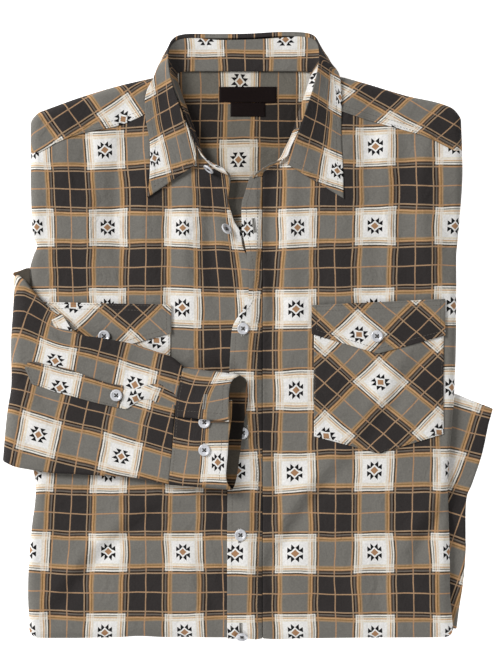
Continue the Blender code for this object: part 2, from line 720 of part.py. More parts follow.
def along_path(path, share):
    """Plan point at a share of a polyline's length."""
    points = np.array(path, float)
    lengths = np.concatenate([[0.0], np.cumsum(np.linalg.norm(np.diff(points, axis=0), axis=1))])
    at = share * lengths[-1]
    return np.array([np.interp(at, lengths, points[:, 0]), np.interp(at, lengths, points[:, 1])])


def sleeve_plan(along, across):
    """Plan point of the sleeve between its four edges: along from the fold to the cuff."""
    upper, lower = along_path(SLEEVE_UPPER, along), along_path(SLEEVE_LOWER, along)
    fold, end = along_path(SLEEVE_FOLD, across), along_path(SLEEVE_END, across)
    corners = (
        (1 - along) * (1 - across) * np.array(SLEEVE_UPPER[0]) + along * (1 - across) * np.array(SLEEVE_UPPER[-1])
        + (1 - along) * across * np.array(SLEEVE_LOWER[0]) + along * across * np.array(SLEEVE_LOWER[-1])
    )
    return (1 - across) * upper + across * lower + (1 - along) * fold + along * end - corners


def over_button(x, y, button_x, button_y, reach):
    """Rise of a layer that passes over a button, gone at the reach from it."""
    distance = math.hypot(x - button_x, y - button_y)
    return (BUTTON_H + 0.6) * max(0.0, 1.0 - distance / reach) ** 1.5


def sleeve_lift(x, y):
    """Room under the sleeve for the pocket, its flap and its button."""
    patch = float(np.interp(y, (-60.0, -30.0), (PLY + SEAM_GAP, 2 * PLY + SEAM_GAP)))
    return patch + over_button(x, y, -137.2, -0.6, 60.0)


def sleeve_half(place):
    """Half the thickness of the sleeve: place 1 at its cuff, 0 at its fold, -1 under the body."""
    halves = (SLEEVE_UNDER_HALF, SLEEVE_HALF, SLEEVE_HALF, SLEEVE_CUFF_HALF)
    return float(np.interp(place, (-1.0, -0.3, 0.7, 1.0), halves))


def sleeve_middle(place, across):
    """Middle surface of the sleeve: place 0..1 lies over the body, below 0 it turns under."""
    if place >= 0.0:
        along = FOLD_SHARE + (1.0 - FOLD_SHARE) * place
        x, y = sleeve_plan(along, across)
        return np.array([x, y, crown(x, y) + sleeve_lift(x, y) + sleeve_half(place)])
    start_x, start_y = sleeve_plan(FOLD_SHARE, across)
    fold_x, fold_y = sleeve_plan(0.0, across)
    top = crown(start_x, start_y) + sleeve_lift(start_x, start_y) + SLEEVE_HALF
    middle, reach = (top + SLEEVE_UNDER_HALF) / 2.0, (top - SLEEVE_UNDER_HALF) / 2.0
    turn = min(1.0, -place) * math.pi
    x = start_x + (fold_x + SLEEVE_HALF - start_x) * math.sin(turn)
    y = start_y + (fold_y - start_y) * min(1.0, math.sin(min(turn, math.pi / 2)))
    if place < -1.0:
        x += (-place - 1.0) * SLEEVE_TUCK
    return np.array([x, y, middle + reach * math.cos(turn)])


def tube_ring(middle, place, half, count):
    """Closed ring round the middle surface: its upper side out, then its lower side back."""
    steps = 24
    line = np.array([middle(place, across) for across in np.linspace(0.0, 1.0, steps + 1)])
    lengths = np.concatenate([[0.0], np.cumsum(np.linalg.norm(np.diff(line, axis=0), axis=1))])
    total = lengths[-1]
    turns = np.radians([0.0, 30.0, 60.0])
    starts = [half * (1.0 - math.cos(turn)) for turn in turns]
    spots = starts + list(np.linspace(half, total - half, count)) + [total - start for start in reversed(starts)]
    upper, lower = [], []
    for spot in spots:
        across = float(np.interp(spot, lengths, np.linspace(0.0, 1.0, steps + 1)))
        here = middle(place, across)
        along = middle(place + 0.004, across) - middle(place - 0.004, across)
        sideways = middle(place, min(1.0, across + 0.01)) - middle(place, max(0.0, across - 0.01))
        normal = np.cross(sideways, along)
        normal /= np.linalg.norm(normal)
        edge = min(spot, total - spot, half)
        rise = math.sqrt(max(0.0, half ** 2 - (half - edge) ** 2))
        upper.append(here + normal * rise)
        lower.append(here - normal * rise)
    return [tuple(point) for point in upper + lower[-2:0:-1]]


def inner_ring(ring, wall):
    """The same ring one wall further in: each point moves toward its mate on the other side of the tube."""
    points = np.array(ring)
    count = len(points)
    last = count // 2
    inward = (points[last] - points[0]) / np.linalg.norm(points[last] - points[0])
    shrunk = []
    for index in range(count):
        spot = index if index <= last else count - index
        across = points[(count - index) % count] - points[index]
        gap = np.linalg.norm(across)
        push = 1.0 if spot < last / 2.0 else -1.0
        ease = max(0.0, 1.0 - min(spot, last - spot) / 3.0)
        move = inward * wall * push * ease
        if gap > 0.01:
            move = move + across / gap * min(wall * (1.0 - 0.25 * ease), gap * 0.4)
        shrunk.append(tuple(points[index] + move))
    return shrunk


def add_tube(name, outer, inner, collection):
    """A flattened tube shut at its far end: outer rings, and inner rings that stop short of it."""
    points, faces = [], []
    size = len(outer[0])
    half = (size + 2) // 2

    def strip(rings, turned):
        base = len(points)
        for ring in rings:
            points.extend(ring)
        for row in range(len(rings) - 1):
            for here in range(size):
                there = (here + 1) % size
                low, high = base + row * size, base + (row + 1) * size
                quad = (low + here, low + there, high + there, high + here)
                faces.append(quad if turned else quad[::-1])
        return base

    def lid(start):
        faces.append((start, start + 1, start + size - 1))
        for here in range(1, half - 2):
            faces.append((start + here, start + here + 1, start + size - here - 1, start + size - here))
        faces.append((start + half - 2, start + half - 1, start + half))

    outer_start = strip(outer, True)
    inner_start = strip(inner, False)
    for here in range(size):
        there = (here + 1) % size
        faces.append((outer_start + here, outer_start + there, inner_start + there, inner_start + here))
    lid(outer_start + (len(outer) - 1) * size)
    lid(inner_start + (len(inner) - 1) * size)
    item = add_object(name, points, faces, "cloth", collection)
    mesh = bmesh.new()
    mesh.from_mesh(item.data)
    bmesh.ops.recalc_face_normals(mesh, faces=mesh.faces[:])
    mesh.to_mesh(item.data)
    mesh.free()
    item.data.shade_smooth()


def build_sleeve(collection):
    """The wearer's right sleeve: a flattened tube from under the body, round its edge and across."""
    over = list(np.linspace(1.0, 0.0, 17))
    under = [-0.14, -0.28, -0.42, -0.5, -0.58, -0.72, -0.86, -1.0, -1.5]
    outer = []
    inner = []
    for place in over + under:
        outer.append(tube_ring(sleeve_middle, place, sleeve_half(place), 9))
        if place >= CAVITY_START:
            inner.append(inner_ring(outer[-1], WALL))
    add_tube("sleeve_right", outer, inner, collection)


def cuff_frame(share, out):
    """Plan and size of the cuff at a share across it, out from seam (0) to mouth (1)."""
    seam_x = read(CUFF, share, "share", "seam_x") + SEAM_GAP
    y = read(CUFF, share, "share", "y_seam") * (1 - out) + read(CUFF, share, "share", "y_mouth") * out
    upper_x = seam_x + (read(CUFF, share, "share", "upper_x") - seam_x) * out
    lower_x = seam_x + (read(CUFF, share, "share", "lower_x") - seam_x) * out
    return upper_x, lower_x, y


def cuff_point(share, out, level):
    """Point of the cuff: level 1 on its upper layer, -1 on its lower layer."""
    upper_x, lower_x, y = cuff_frame(share, out)
    half = SLEEVE_CUFF_HALF + (CUFF_MOUTH_HALF - SLEEVE_CUFF_HALF) * out
    x = upper_x + (lower_x - upper_x) * (1.0 - level) / 2.0
    base = crown(x, y) + PLY + SEAM_GAP + over_button(x, y, -2.9, -92.6, 75.0)
    rise = over_button(x, 0.0, -41.7, 0.0, 22.0) * float(np.interp(share, (0.2, 0.36), (0.0, 1.0)))
    if level < 1.0 or share > 0.45:
        rise = 0.0
    return x, y, base + half * (1.0 + level) + rise


def cuff_girth():
    """Places round the cuff from its buttonhole end to its button end: share across, and level."""
    width = 111.0
    flap = [(CUFF_FLAP / width * step, 1.0) for step in (1.0, 0.8, 0.6, 0.4, 0.2)]
    upper_fold = [
        (0.045 * (1.0 - math.sin(math.radians(turn))), math.cos(math.radians(turn)))
        for turn in (0, 30, 60, 90, 120, 150, 180)
    ]
    lower = [(share, -1.0) for share in (0.2, 0.35, 0.5, 0.65, 0.8)]
    lower_fold = [
        (1.0 - 0.045 * (1.0 - math.sin(math.radians(turn))), -math.cos(math.radians(turn)))
        for turn in (0, 30, 60, 90, 120, 150, 180)
    ]
    end = (CUFF_FLAP - CUFF_UNDERLAP) / width
    under = [(0.84, 1.0), (0.7, 1.0), (0.56, 0.96), (0.47, 0.78), (0.41, 0.68), (0.36, 0.66), (end, 0.66)]
    return flap + upper_fold + lower + lower_fold + under


def build_cuff(collection):
    """The open cuff: its buttonhole end lies loose over its button end."""
    grid = []
    for out in (0.0, 0.2, 0.4, 0.6, 0.8, 1.0):
        grid.append([cuff_point(share, out, level) for share, level in cuff_girth()])
    rows, columns = len(grid), len(grid[0])
    points = [point for row in grid for point in row]
    item = add_object("cuff", points, grid_faces(rows, columns), "cloth", collection)
    first = item.data.polygons[0].normal
    if first.z < 0:
        item.data.flip_normals()
    thicken(item)


def build_gauntlet(collection):
    """The sleeve placket's strip, on the upper side of the sleeve."""
    grid = []
    for x in np.linspace(-207.0, -118.6, 10):
        upper = read(GAUNTLET, x, "x", "upper")
        lower = read(GAUNTLET, x, "x", "lower")
        row = []
        for y in np.linspace(upper, lower, 4):
            z = crown(x, y) + sleeve_lift(x, y) + 2 * SLEEVE_HALF + PLY + SEAM_GAP
            row.append((x, y, z))
        grid.append(row)
    sheet("sleeve_placket", grid, "cloth", collection)


def build_left_sleeve(collection):
    """The wearer's left sleeve, folded flat and showing past the body's edge."""
    grid = []
    for row in LEFT_SLEEVE:
        tuck = float(np.interp(row.y, (-280.0, -271.0, -260.0), (1.0, 5.0, SLEEVE_SLOT_DEPTH - 1.6)))
        inner = side_x(row.y, 1) - tuck
        half = min(LEFT_SLEEVE_TOP / 2.0, (row.x - inner) / 2.4)
        rise = LEFT_SLEEVE_RISE * float(np.interp(row.y, (-113.0, -69.6), (0.0, 1.0)))
        turns = np.radians((0, 30, 60, 90, 120, 150, 180))
        line = [(inner, half), (inner * 0.5 + row.x * 0.5 - half, half)]
        line += [(row.x - half * (1.0 - math.sin(turn)), half * math.cos(turn)) for turn in turns]
        line += [(inner * 0.5 + row.x * 0.5 - half, -half), (inner, -half)]
        reach = row.x - inner
        grid.append([(x, row.y + rise * (row.x - x) / reach, half + z) for x, z in line])
    points = [point for line in grid for point in line]
    item = add_object("sleeve_left", points, grid_faces(len(grid), len(grid[0])), "cloth", collection)
    if item.data.polygons[0].normal.z < 0:
        item.data.flip_normals()
    thicken(item)


def build_labels(collection):
    """Both woven labels, bare, one below the other on the inside of the back."""
    for label in LABELS:
        grid = []
        for y in np.linspace(label.y_low, label.y_high, 3):
            row = []
            for x in np.linspace(label.x_right, label.x_left, 5):
                _, _, z = body_point(x, y, lift=-STACK_INSET, drop=NECK_HOLLOW[-1].depth)
                row.append((x, y, z + 2 * PLY + 2 * SEAM_GAP))
            grid.append(row)
        sheet(label.name, grid, "label", collection, wall=1.0)


def button_seat(row):
    """Height of the cloth under a button."""
    if row.on == "front":
        return crown(row.x, row.y)
    if row.on == "placket":
        return placket_point(row.x, row.y)[2]
    if row.on == "flap":
        return crown(row.x, row.y) + 2 * PLY
    if row.on == "gauntlet":
        return crown(row.x, row.y) + sleeve_lift(row.x, row.y) + 2 * SLEEVE_HALF + PLY + SEAM_GAP
    share = float(np.interp(-row.y, (33.0, 144.0), (0.0, 1.0)))
    out = (row.x + 68.0) / 49.0
    return cuff_point(share + 0.5, out, 0.76 if row.on == "underlap" else 1.0)[2] + SEAM_GAP


def button_mesh():
    """Profile of a shirt button: a raised rim round a dished middle."""
    mesh = bpy.data.meshes.new("button")
    profile = [
        (0.0, 0.62), (3.3, 0.66), (4.2, 0.98), (5.1, 1.0), (5.7, 0.55), (5.4, 0.14), (3.8, 0.0), (0.0, 0.0),
    ]
    points = [(x * MM * BUTTON_R / 5.7, 0.0, z * MM * BUTTON_H) for x, z in profile]
    mesh.from_pydata(points, [(index, index + 1) for index in range(len(points) - 1)], [])
    return mesh


def build_buttons(collection):
    """All the shirt's buttons, each turned from one profile."""
    for row in BUTTONS:
        mesh = button_mesh()
        mesh.name = row.name
        mesh.materials.append(new_material(row.name, "button"))
        item = bpy.data.objects.new(row.name, mesh)
        collection.objects.link(item)
        tilt_x, tilt_y = math.radians(row.tilt_x), math.radians(row.tilt_y)
        drop = BUTTON_R * (abs(math.sin(tilt_y)))
        z = button_seat(row) + SEAM_GAP + drop
        y = row.y
        if row.tilt_x:
            z, y = FOLD_Z + 7.4, row.y - 1.4
        item.location = (row.x * MM, y * MM, z * MM)
        item.rotation_euler = (tilt_x, tilt_y, 0.0)
        turned = item.modifiers.new("turned", "SCREW")
        turned.axis = "Z"
        turned.steps = 14
        turned.render_steps = 14
        turned.use_merge_vertices = True
        turned.merge_threshold = 0.00005
        turned.use_smooth_shade = True


def main():
    """Clear the scene and build every piece of the shirt."""
    for item in list(bpy.data.objects):
        bpy.data.objects.remove(item, do_unlink=True)
    collection = bpy.data.collections.new(BODY)
    bpy.context.scene.collection.children.link(collection)
    build_hidden_layers(collection)
    build_inner_back(collection)
    build_fronts(collection)
    build_yokes(collection)
    build_placket(collection)
    build_collar(collection)
    build_labels(collection)
    build_patches(collection)
    build_sleeve(collection)
    build_cuff(collection)
    build_gauntlet(collection)
    build_left_sleeve(collection)
    build_buttons(collection)


main()
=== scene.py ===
"""A man's folded checked shirt: the cloth with its check, its creases, seams, stitches and buttons.

The shirt lies on its folded back. +X is the wearer's left, +Y runs to the collar and +Z is up, out of
the front. Tables hold millimetres, and MM turns them into Blender's metres. A plan place is an (x, y)
seen from above.
"""

from __future__ import annotations

import json
import logging
import math
from dataclasses import dataclass, field
from enum import Enum
from functools import partial
from typing import Any, Callable, NamedTuple, Sequence

import bmesh
import bpy
import numpy as np
from bpy.types import Material, Mesh, Node, NodeSocket, NodeTree, Object
from mathutils import Euler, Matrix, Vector
from mathutils.bvhtree import BVHTree
from numpy.typing import NDArray

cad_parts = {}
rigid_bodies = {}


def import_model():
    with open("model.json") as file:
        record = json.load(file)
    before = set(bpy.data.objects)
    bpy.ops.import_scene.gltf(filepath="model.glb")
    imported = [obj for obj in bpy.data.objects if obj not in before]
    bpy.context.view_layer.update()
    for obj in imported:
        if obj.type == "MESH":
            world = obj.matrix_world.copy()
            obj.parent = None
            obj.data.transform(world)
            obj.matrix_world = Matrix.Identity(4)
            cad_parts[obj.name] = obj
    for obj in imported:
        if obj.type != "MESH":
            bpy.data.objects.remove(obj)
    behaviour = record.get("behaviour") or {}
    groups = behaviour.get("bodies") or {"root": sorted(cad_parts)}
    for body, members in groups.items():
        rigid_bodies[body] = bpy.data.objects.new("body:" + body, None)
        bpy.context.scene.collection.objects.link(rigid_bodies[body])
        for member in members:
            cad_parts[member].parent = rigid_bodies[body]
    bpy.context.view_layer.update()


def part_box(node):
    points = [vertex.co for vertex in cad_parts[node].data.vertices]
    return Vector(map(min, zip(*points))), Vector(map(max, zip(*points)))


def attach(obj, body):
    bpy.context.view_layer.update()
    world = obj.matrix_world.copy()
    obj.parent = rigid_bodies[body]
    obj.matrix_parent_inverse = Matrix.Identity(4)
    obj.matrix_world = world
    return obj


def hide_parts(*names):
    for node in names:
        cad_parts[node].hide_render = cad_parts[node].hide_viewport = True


logging.basicConfig(level=logging.INFO, format="%(message)s")
LOG = logging.getLogger("folded_shirt")

Array = NDArray[np.float64]
Colour = tuple[float, float, float, float]
Add = Callable[..., Node]      # add_node, ready for one material's nodes

MM = 0.001
WALL = 1.2             # thickness of the cloth
SEAM_GAP = 0.3         # room between two layers
PLY = WALL + SEAM_GAP
STACK_INSET = 2.1      # how far the stack lies inside the fronts
FRONT_TOP = 14.6       # height of the fronts at their edges
PILLOW = 1.4           # how much higher the fronts are in their middle
FOLD_Z = 7.2           # height of the outermost point of a fold
FOLD_R = 8.0           # radius of a fold of the body, in plan
FOLD_GIRTH = 7.7       # mean radius of the cloth round a fold of the body
UNDER_GIRTH = 5.0      # mean radius of the cloth where it turns under
UNDER_DEPTH = 2.3      # how far the cloth turns down below the outermost point of a fold
CORNER_R = 9.0         # radius of the body's corners, in plan
BUTTON_H = 2.3
REPEAT_U = 74.1        # the check's repeat across the cloth
REPEAT_V = 77.0        # the check's repeat along the cloth


def rows(*table: Sequence[Any]) -> Array:
    """Return the rows of a table as an array of floats."""
    return np.array(table, float)


SIDE_RIGHT = rows(
    (-290, -208.5), (-268, -209.2), (-247, -210), (-225, -209.6), (-202, -208.2), (-179, -206),
    (-160, -203.4), (-142, -202.6), (-125, -205), (-61, -205.6), (20, -207), (34, -208.6), (51, -208.6),
    (64, -208), (76, -204.8), (86, -201.4), (95, -205.5), (106, -206.6), (120, -206.8), (148, -207.4),
    (212, -207.4),
)
SIDE_LEFT = rows(
    (-290, 195.5), (-268, 193.8), (-247, 192), (-225, 191.8), (-202, 191.5), (-179, 190.8),
    (-160, 190.2), (-142, 190), (-125, 190.8), (-61, 195.6), (34, 198), (76, 197.8),
    (90, 199.2), (120, 201.8), (148, 203.6), (212, 202.2),
)
BOTTOM_FOLD = rows(
    (-210, -288.2), (-130, -287.8), (-106, -286.2), (-80, -287.2), (0, -287.8), (28, -289.4),
    (60, -288.4), (196, -287.4),
)
SHOULDER_FOLD = rows(
    (-208, 209.5), (-194, 214.6), (-157, 227.8), (-121, 238.4), (-93, 244.8), (-70, 250),
    (66, 250), (89, 246), (106, 241.5), (150, 228.4), (189, 218.8), (203, 212.5),
)
FRONT_EDGE_RIGHT = rows(
    (-290, 6), (60, 6), (84, -5.2), (101, -8.9), (107, -12.8), (117, -16.2), (129, -19.3), (140, -17.8), (153, -17.2),
    (163, -37), (177, -47), (195, -53.5), (218, -64.5), (236, -73), (251, -78),
)
FRONT_EDGE_LEFT = rows(
    (-290, 13.5), (60, 13.5), (102, 13.5), (134, 13.5), (153, 13.5),
    (163, 24), (177, 35.5), (195, 44.5), (218, 54), (236, 63.5), (251, 69.5),
)
YOKE_SEAM_RIGHT = rows((0, 228), (0.25, 212), (0.5, 199), (0.68, 194), (0.85, 186), (1, 174.5))
YOKE_SEAM_LEFT = rows((0, 225), (0.25, 214), (0.5, 203), (0.68, 196), (0.85, 188), (1, 176.2))
PLACKET_EDGE = rows(
    (-290, -20.4), (-213, -20.4), (-60, -18.6), (-4, -16.8), (9, -15), (22, -7.6), (35, 0),
    (60, 0.2), (85, -3.2), (102, -6.4), (124, -6.6), (136, -3.3), (152, 1.5),
)
PLACKET_SEAM_X = 13.2
PLACKET_TOP = 151.0


def read(table: Array, at: Array | float) -> Array:
    """Read a table smoothly.

    Args:
        table: Rows of (where, value), in rising order of where.
        at: The places to read.

    Returns:
        The value at each place, held level past both ends.
    """
    where, value = table[:, 0], table[:, 1]
    rise = np.diff(value) / np.diff(where)
    slope = np.gradient(value, where)
    least = 2.5 * np.minimum(np.abs(rise[:-1]), np.abs(rise[1:]))
    slope[1:-1] = np.sign(slope[1:-1]) * np.minimum(np.abs(slope[1:-1]), least)
    at = np.clip(np.asarray(at, float), where[0], where[-1])
    low = np.clip(np.searchsorted(where, at, side="right") - 1, 0, len(where) - 2)
    span = where[low + 1] - where[low]
    t = (at - where[low]) / span
    return (
        (2 * t ** 3 - 3 * t ** 2 + 1) * value[low]
        + (t ** 3 - 2 * t ** 2 + t) * span * slope[low]
        + (3 * t ** 2 - 2 * t ** 3) * value[low + 1]
        + (t ** 3 - t ** 2) * span * slope[low + 1]
    )


def extended(table: Array) -> Array:
    """Return rows with one more at each end, straight on from the last two."""
    return np.concatenate([[2 * table[0] - table[1]], table, [2 * table[-1] - table[-2]]])


def unit(vectors: Array) -> Array:
    """Return vectors scaled to length 1."""
    return vectors / np.maximum(np.linalg.norm(vectors, axis=-1, keepdims=True), 1e-9)


def lengths(path: Array) -> Array:
    """Return how far along a path each of its points is."""
    return np.concatenate([[0.0], np.cumsum(np.linalg.norm(np.diff(path, axis=0), axis=1))])


def eased(share: Array) -> Array:
    """Return a share from 0 to 1 that starts and stops softly."""
    share = np.clip(share, 0.0, 1.0)
    return share * share * (3 - 2 * share)


def along_rows(table: Array, count: int) -> Array:
    """Read rows evenly along a table by a smooth curve through its own rows.

    Args:
        table: Rows of numbers.
        count: How many rows to return.

    Returns:
        The new rows.
    """
    ends = extended(table)
    places = np.linspace(0.0, len(table) - 1.0, count)
    low = np.clip(np.floor(places), 0, len(table) - 2).astype(int)
    weights = Lattice.weights(places - low)
    return sum(weights[k][:, None] * ends[low + k] for k in range(4))


class Crease(NamedTuple):
    """A soft ridge (rise above 0) or trough (below 0) along a straight line in plan."""

    x_start: float
    y_start: float
    x_stop: float
    y_stop: float
    width: float
    rise: float


def creases(*table: tuple[float, ...]) -> tuple[Crease, ...]:
    """Return creases from rows of their six numbers."""
    return tuple(Crease(*row) for row in table)


def relief(creases: Sequence[Crease], x: Array, y: Array) -> Array:
    """Add up creases at plan places.

    Args:
        creases: The ridges and troughs.
        x: Plan x of each place.
        y: Plan y of each place.

    Returns:
        The height that they give each place.
    """
    total = np.zeros(np.broadcast(x, y).shape)
    for crease in creases:
        way = np.array([crease.x_stop - crease.x_start, crease.y_stop - crease.y_start])
        length = float(np.hypot(*way))
        way = way / length
        along = (x - crease.x_start) * way[0] + (y - crease.y_start) * way[1]
        across = (x - crease.x_start) * -way[1] + (y - crease.y_start) * way[0]
        bend = across + 0.05 * length * np.sin(math.pi * np.clip(along / length, 0.0, 1.0))
        inside = np.clip(along / length, 0.0, 1.0)
        past = np.maximum(0.0, np.maximum(-along, along - length)) / (1.8 * crease.width)
        taper = 0.25 + 0.75 * np.sin(math.pi * (0.08 + 0.84 * inside))
        total = total + crease.rise * taper * np.exp(-(bend / crease.width) ** 2 - past ** 2)
    return total


BODY_CREASES = creases(
    (-112, 200, -112, 45, 22, -1.8), (-174, 200, -172, 148, 8, 1.3), (-152, 200, -152, 148, 7, -1.4),
    (-148, 160, -148, 50, 9, 1.3), (-119, 205, -119, 50, 8, -1.4), (-92, 205, -93, 40, 7, 1.1),
    (-76, 130, -75, 35, 6, -1.2), (-57, 135, -56, 35, 7, 1.5), (-32, 150, -31, 40, 6, -1.7),
    (-190, 120, -194, 60, 7, -1.1), (5, 90, 5, -150, 7, 0.8), (6, -120, 6, -285, 7, 0.9),
    (28, 180, 28, 20, 7, -2.2), (28, 60, 29, -130, 6, -1.2), (28, -140, 28, -285, 6, -1.1),
    (46, 175, 45, 20, 8, 1.2), (94, 225, 92, 140, 9, 0.4), (120, 225, 118, 140, 10, -1.6),
    (88, 100, 86, 45, 9, 0.9), (125, 105, 124, 45, 9, -0.9), (152, 190, 150, 60, 9, -1.1),
    (170, 195, 172, 60, 7, 1.1), (197, 115, 198, 40, 11, -2.4), (200, -210, 202, -272, 9, -1.7),
    (164, -4, 104, -87, 7, 1.2), (177, -14, 117, -97, 7, -1.3), (141, -46, 125, -70, 5, 0.8),
    (153, -54, 137, -78, 5, -1), (90, -108, 10, -213, 8, 1.6), (102, -118, 22, -223, 8, -1.6),
    (189, -141, 143, -211, 7, 1.4), (202, -150, 156, -220, 7, -1.7), (-104, -163, -196, -257, 8, 1.6),
    (-92, -173, -184, -267, 8, -1.7), (-95, -168, -40, -166, 7, -1.1), (-198, -190, -190, -240, 8, -1.2),
    (-60, -205, -42, -272, 8, 1), (-44, -200, -30, -262, 6, -0.8), (104, -222, 106, -270, 8, 1.1),
    (126, -222, 128, -270, 8, -1.2), (150, -210, 186, -268, 9, 1), (186, -60, 188, -130, 6, -0.9),
    (-120, -290, -70, -290, 12, -2.1), (-75, -290, -15, -290, 12, -2.1), (55, -290, 105, -290, 12, -2.1),
    (132, -289, 182, -289, 12, -2.1),
)


@dataclass(frozen=True)
class Lattice:
    """Where a piece's check falls: plan places of equally spaced points of the uncut cloth.

    Attributes:
        nodes: Plan places, by row along the cloth and column across it.
        first_u: Repeats across the cloth at the first column.
        first_v: Repeats along the cloth at the first row.
        step_u: Repeats from column to column.
        step_v: Repeats from row to row.
    """

    nodes: Array
    first_u: float = 0.0
    first_v: float = 0.0
    step_u: float = 1.0
    step_v: float = 1.0

    def padded(self) -> Array:
        """Return the nodes with two more rows and columns on each side, straight on from the last ones."""
        nodes = self.nodes
        for _ in range(2):
            nodes = extended(extended(nodes)).transpose(1, 0, 2)
        return nodes

    @staticmethod
    def weights(t: Array) -> Array:
        """Return the four Catmull-Rom weights at each share of a cell."""
        return 0.5 * np.stack([
            -t + 2 * t ** 2 - t ** 3, 2 - 5 * t ** 2 + 3 * t ** 3, t + 4 * t ** 2 - 3 * t ** 3, -t ** 2 + t ** 3,
        ])

    def place(self, col: Array, row: Array, padded: Array) -> Array:
        """Return the plan places at fractional columns and rows of the padded nodes.

        Args:
            col: Column of each place.
            row: Row of each place.
            padded: The padded nodes.

        Returns:
            (x, y) of each place.
        """
        low_c = np.clip(np.floor(col), 1, padded.shape[1] - 3).astype(int)
        low_r = np.clip(np.floor(row), 1, padded.shape[0] - 3).astype(int)
        across, along = self.weights(col - low_c), self.weights(row - low_r)
        total = np.zeros(col.shape + (2,))
        for r in range(4):
            for c in range(4):
                total += (along[r] * across[c])[..., None] * padded[low_r + r - 1, low_c + c - 1]
        return total

    def chart(self, x: Array, y: Array) -> Array:
        """Find the uncut cloth under plan places.

        Args:
            x: Plan x of each place.
            y: Plan y of each place.

        Returns:
            (u, v) of each place, in millimetres.
        """
        padded = self.padded()
        total_r, total_c = padded.shape[:2]
        middle = np.array([padded[total_r // 2, total_c // 2]])
        across = (padded[total_r // 2, -1] - padded[total_r // 2, 0]) / (total_c - 1)
        along = (padded[-1, total_c // 2] - padded[0, total_c // 2]) / (total_r - 1)
        inverse = np.linalg.inv(np.stack([across, along], 1))
        wanted = np.stack([x, y], -1)
        steps = (wanted - middle[0]) @ inverse.T
        col, row = steps[..., 0] + total_c // 2, steps[..., 1] + total_r // 2
        for _ in range(14):
            inside_c = np.clip(col, 1.0, total_c - 2.0)
            inside_r = np.clip(row, 1.0, total_r - 2.0)
            here = self.place(inside_c, inside_r, padded)
            here = here + (col - inside_c)[..., None] * across + (row - inside_r)[..., None] * along
            steps = (wanted - here) @ inverse.T
            col, row = col + steps[..., 0], row + steps[..., 1]
        u = (self.first_u + (col - 2.0) * self.step_u) * REPEAT_U
        v = (self.first_v + (row - 2.0) * self.step_v) * REPEAT_V
        return np.stack([u, v], -1)


def slanted(origin: tuple[float, float], across: tuple[float, float], along: tuple[float, float]) -> Lattice:
    """Return a lattice that is straight everywhere: a motif's plan place, and one repeat each way.

    Args:
        origin: Plan place of a motif.
        across: Plan step of one repeat across the cloth.
        along: Plan step of one repeat along the cloth.

    Returns:
        The lattice.
    """
    base, a, b = rows(origin, across, along)
    return Lattice(rows(*([base + a * c + b * r for c in (-1, 0, 1)] for r in (-1, 0, 1))), -1.0, -1.0)


FRONT_LEFT_CHECK = Lattice(rows(
    [(44.7, -283.2), (120.4, -283.6), (193.6, -283.6)],
    [(44.2, -207.6), (119, -207), (193, -206.6)],
    [(44.2, -130), (119.2, -128.4), (193.2, -127)],
    [(44.4, -51.8), (119.2, -51), (194.6, -49.4)],
    [(45.1, 25.2), (119.2, 26.6), (196, 28.5)],
    [(47, 102.1), (120.2, 104), (196.2, 104.5)],
    [(48, 179), (121, 180), (197.5, 180)],
))
FRONT_RIGHT_CHECK = Lattice(rows(
    [(-209.5, -281.6), (-136.6, -282.4), (-61, -282), (13, -282)],
    [(-209.5, -204.6), (-134.1, -206.4), (-61, -206.4), (12, -206.4)],
    [(-203, -130.6), (-133.2, -130.9), (-61.6, -130), (11.6, -130)],
    [(-200.6, -52.8), (-133.6, -52), (-62, -52), (11.4, -52)],
    [(-199.6, 25.6), (-134, 26.4), (-62.8, 26.6), (8, 26)],
    [(-201, 102.6), (-134, 102.6), (-62.8, 102.6), (-3.5, 99.5)],
    [(-206, 176), (-136.3, 176.7), (-64, 179), (-16, 180)],
))
PLACKET_CHECK = Lattice(rows(
    [(-12.8, -284.5), (61.3, -284.5)], [(-12.8, -207.6), (61.3, -207.6)], [(-10, -128), (64, -128)],
    [(-14, -53), (60, -53)], [(-9, 23.5), (64, 23.5)], [(-0.9, 101), (70, 101)],
    [(1, 178), (73, 178)],
))
YOKE_RIGHT_CHECK = slanted((-119.7, 205.2), (39.7, -60.3), (63.2, 41.6))
YOKE_LEFT_CHECK = slanted((135.4, 193.3), (-55.1, -49.4), (63.6, -35.1))
POCKET_LEFT_CHECK = slanted((125.9, -44), (55, -48.2), (-51.8, -51.2))
FLAP_LEFT_CHECK = slanted((105.5, 1.4), (55, -48.2), (-51.8, -51.2))
POCKET_RIGHT_CHECK = slanted((-86.9, -4.3), (55, -48.2), (-51.8, -51.2))
FLAP_RIGHT_CHECK = slanted((-165.8, 29.5), (55, -48.2), (-51.8, -51.2))
INNER_BACK_CHECK = slanted((-9, 241.8), (0, 74), (74.5, 0))
LEFT_SLEEVE_CHECK = Lattice(rows(
    [(207.7, -50.1), (243.5, -60.5), (279.3, -71)],
    [(195.7, -87.6), (231.3, -98), (266.9, -108.4)],
    [(182, -124.4), (217.5, -135), (253, -145.6)],
    [(166.2, -159), (201.1, -172.2), (236.2, -185.5)],
    [(153.3, -200), (188.2, -212), (223.2, -224.1)],
    [(140.8, -238.5), (175.7, -250.5), (210.7, -262.5)],
), 0, 0, 0.5, 0.5)
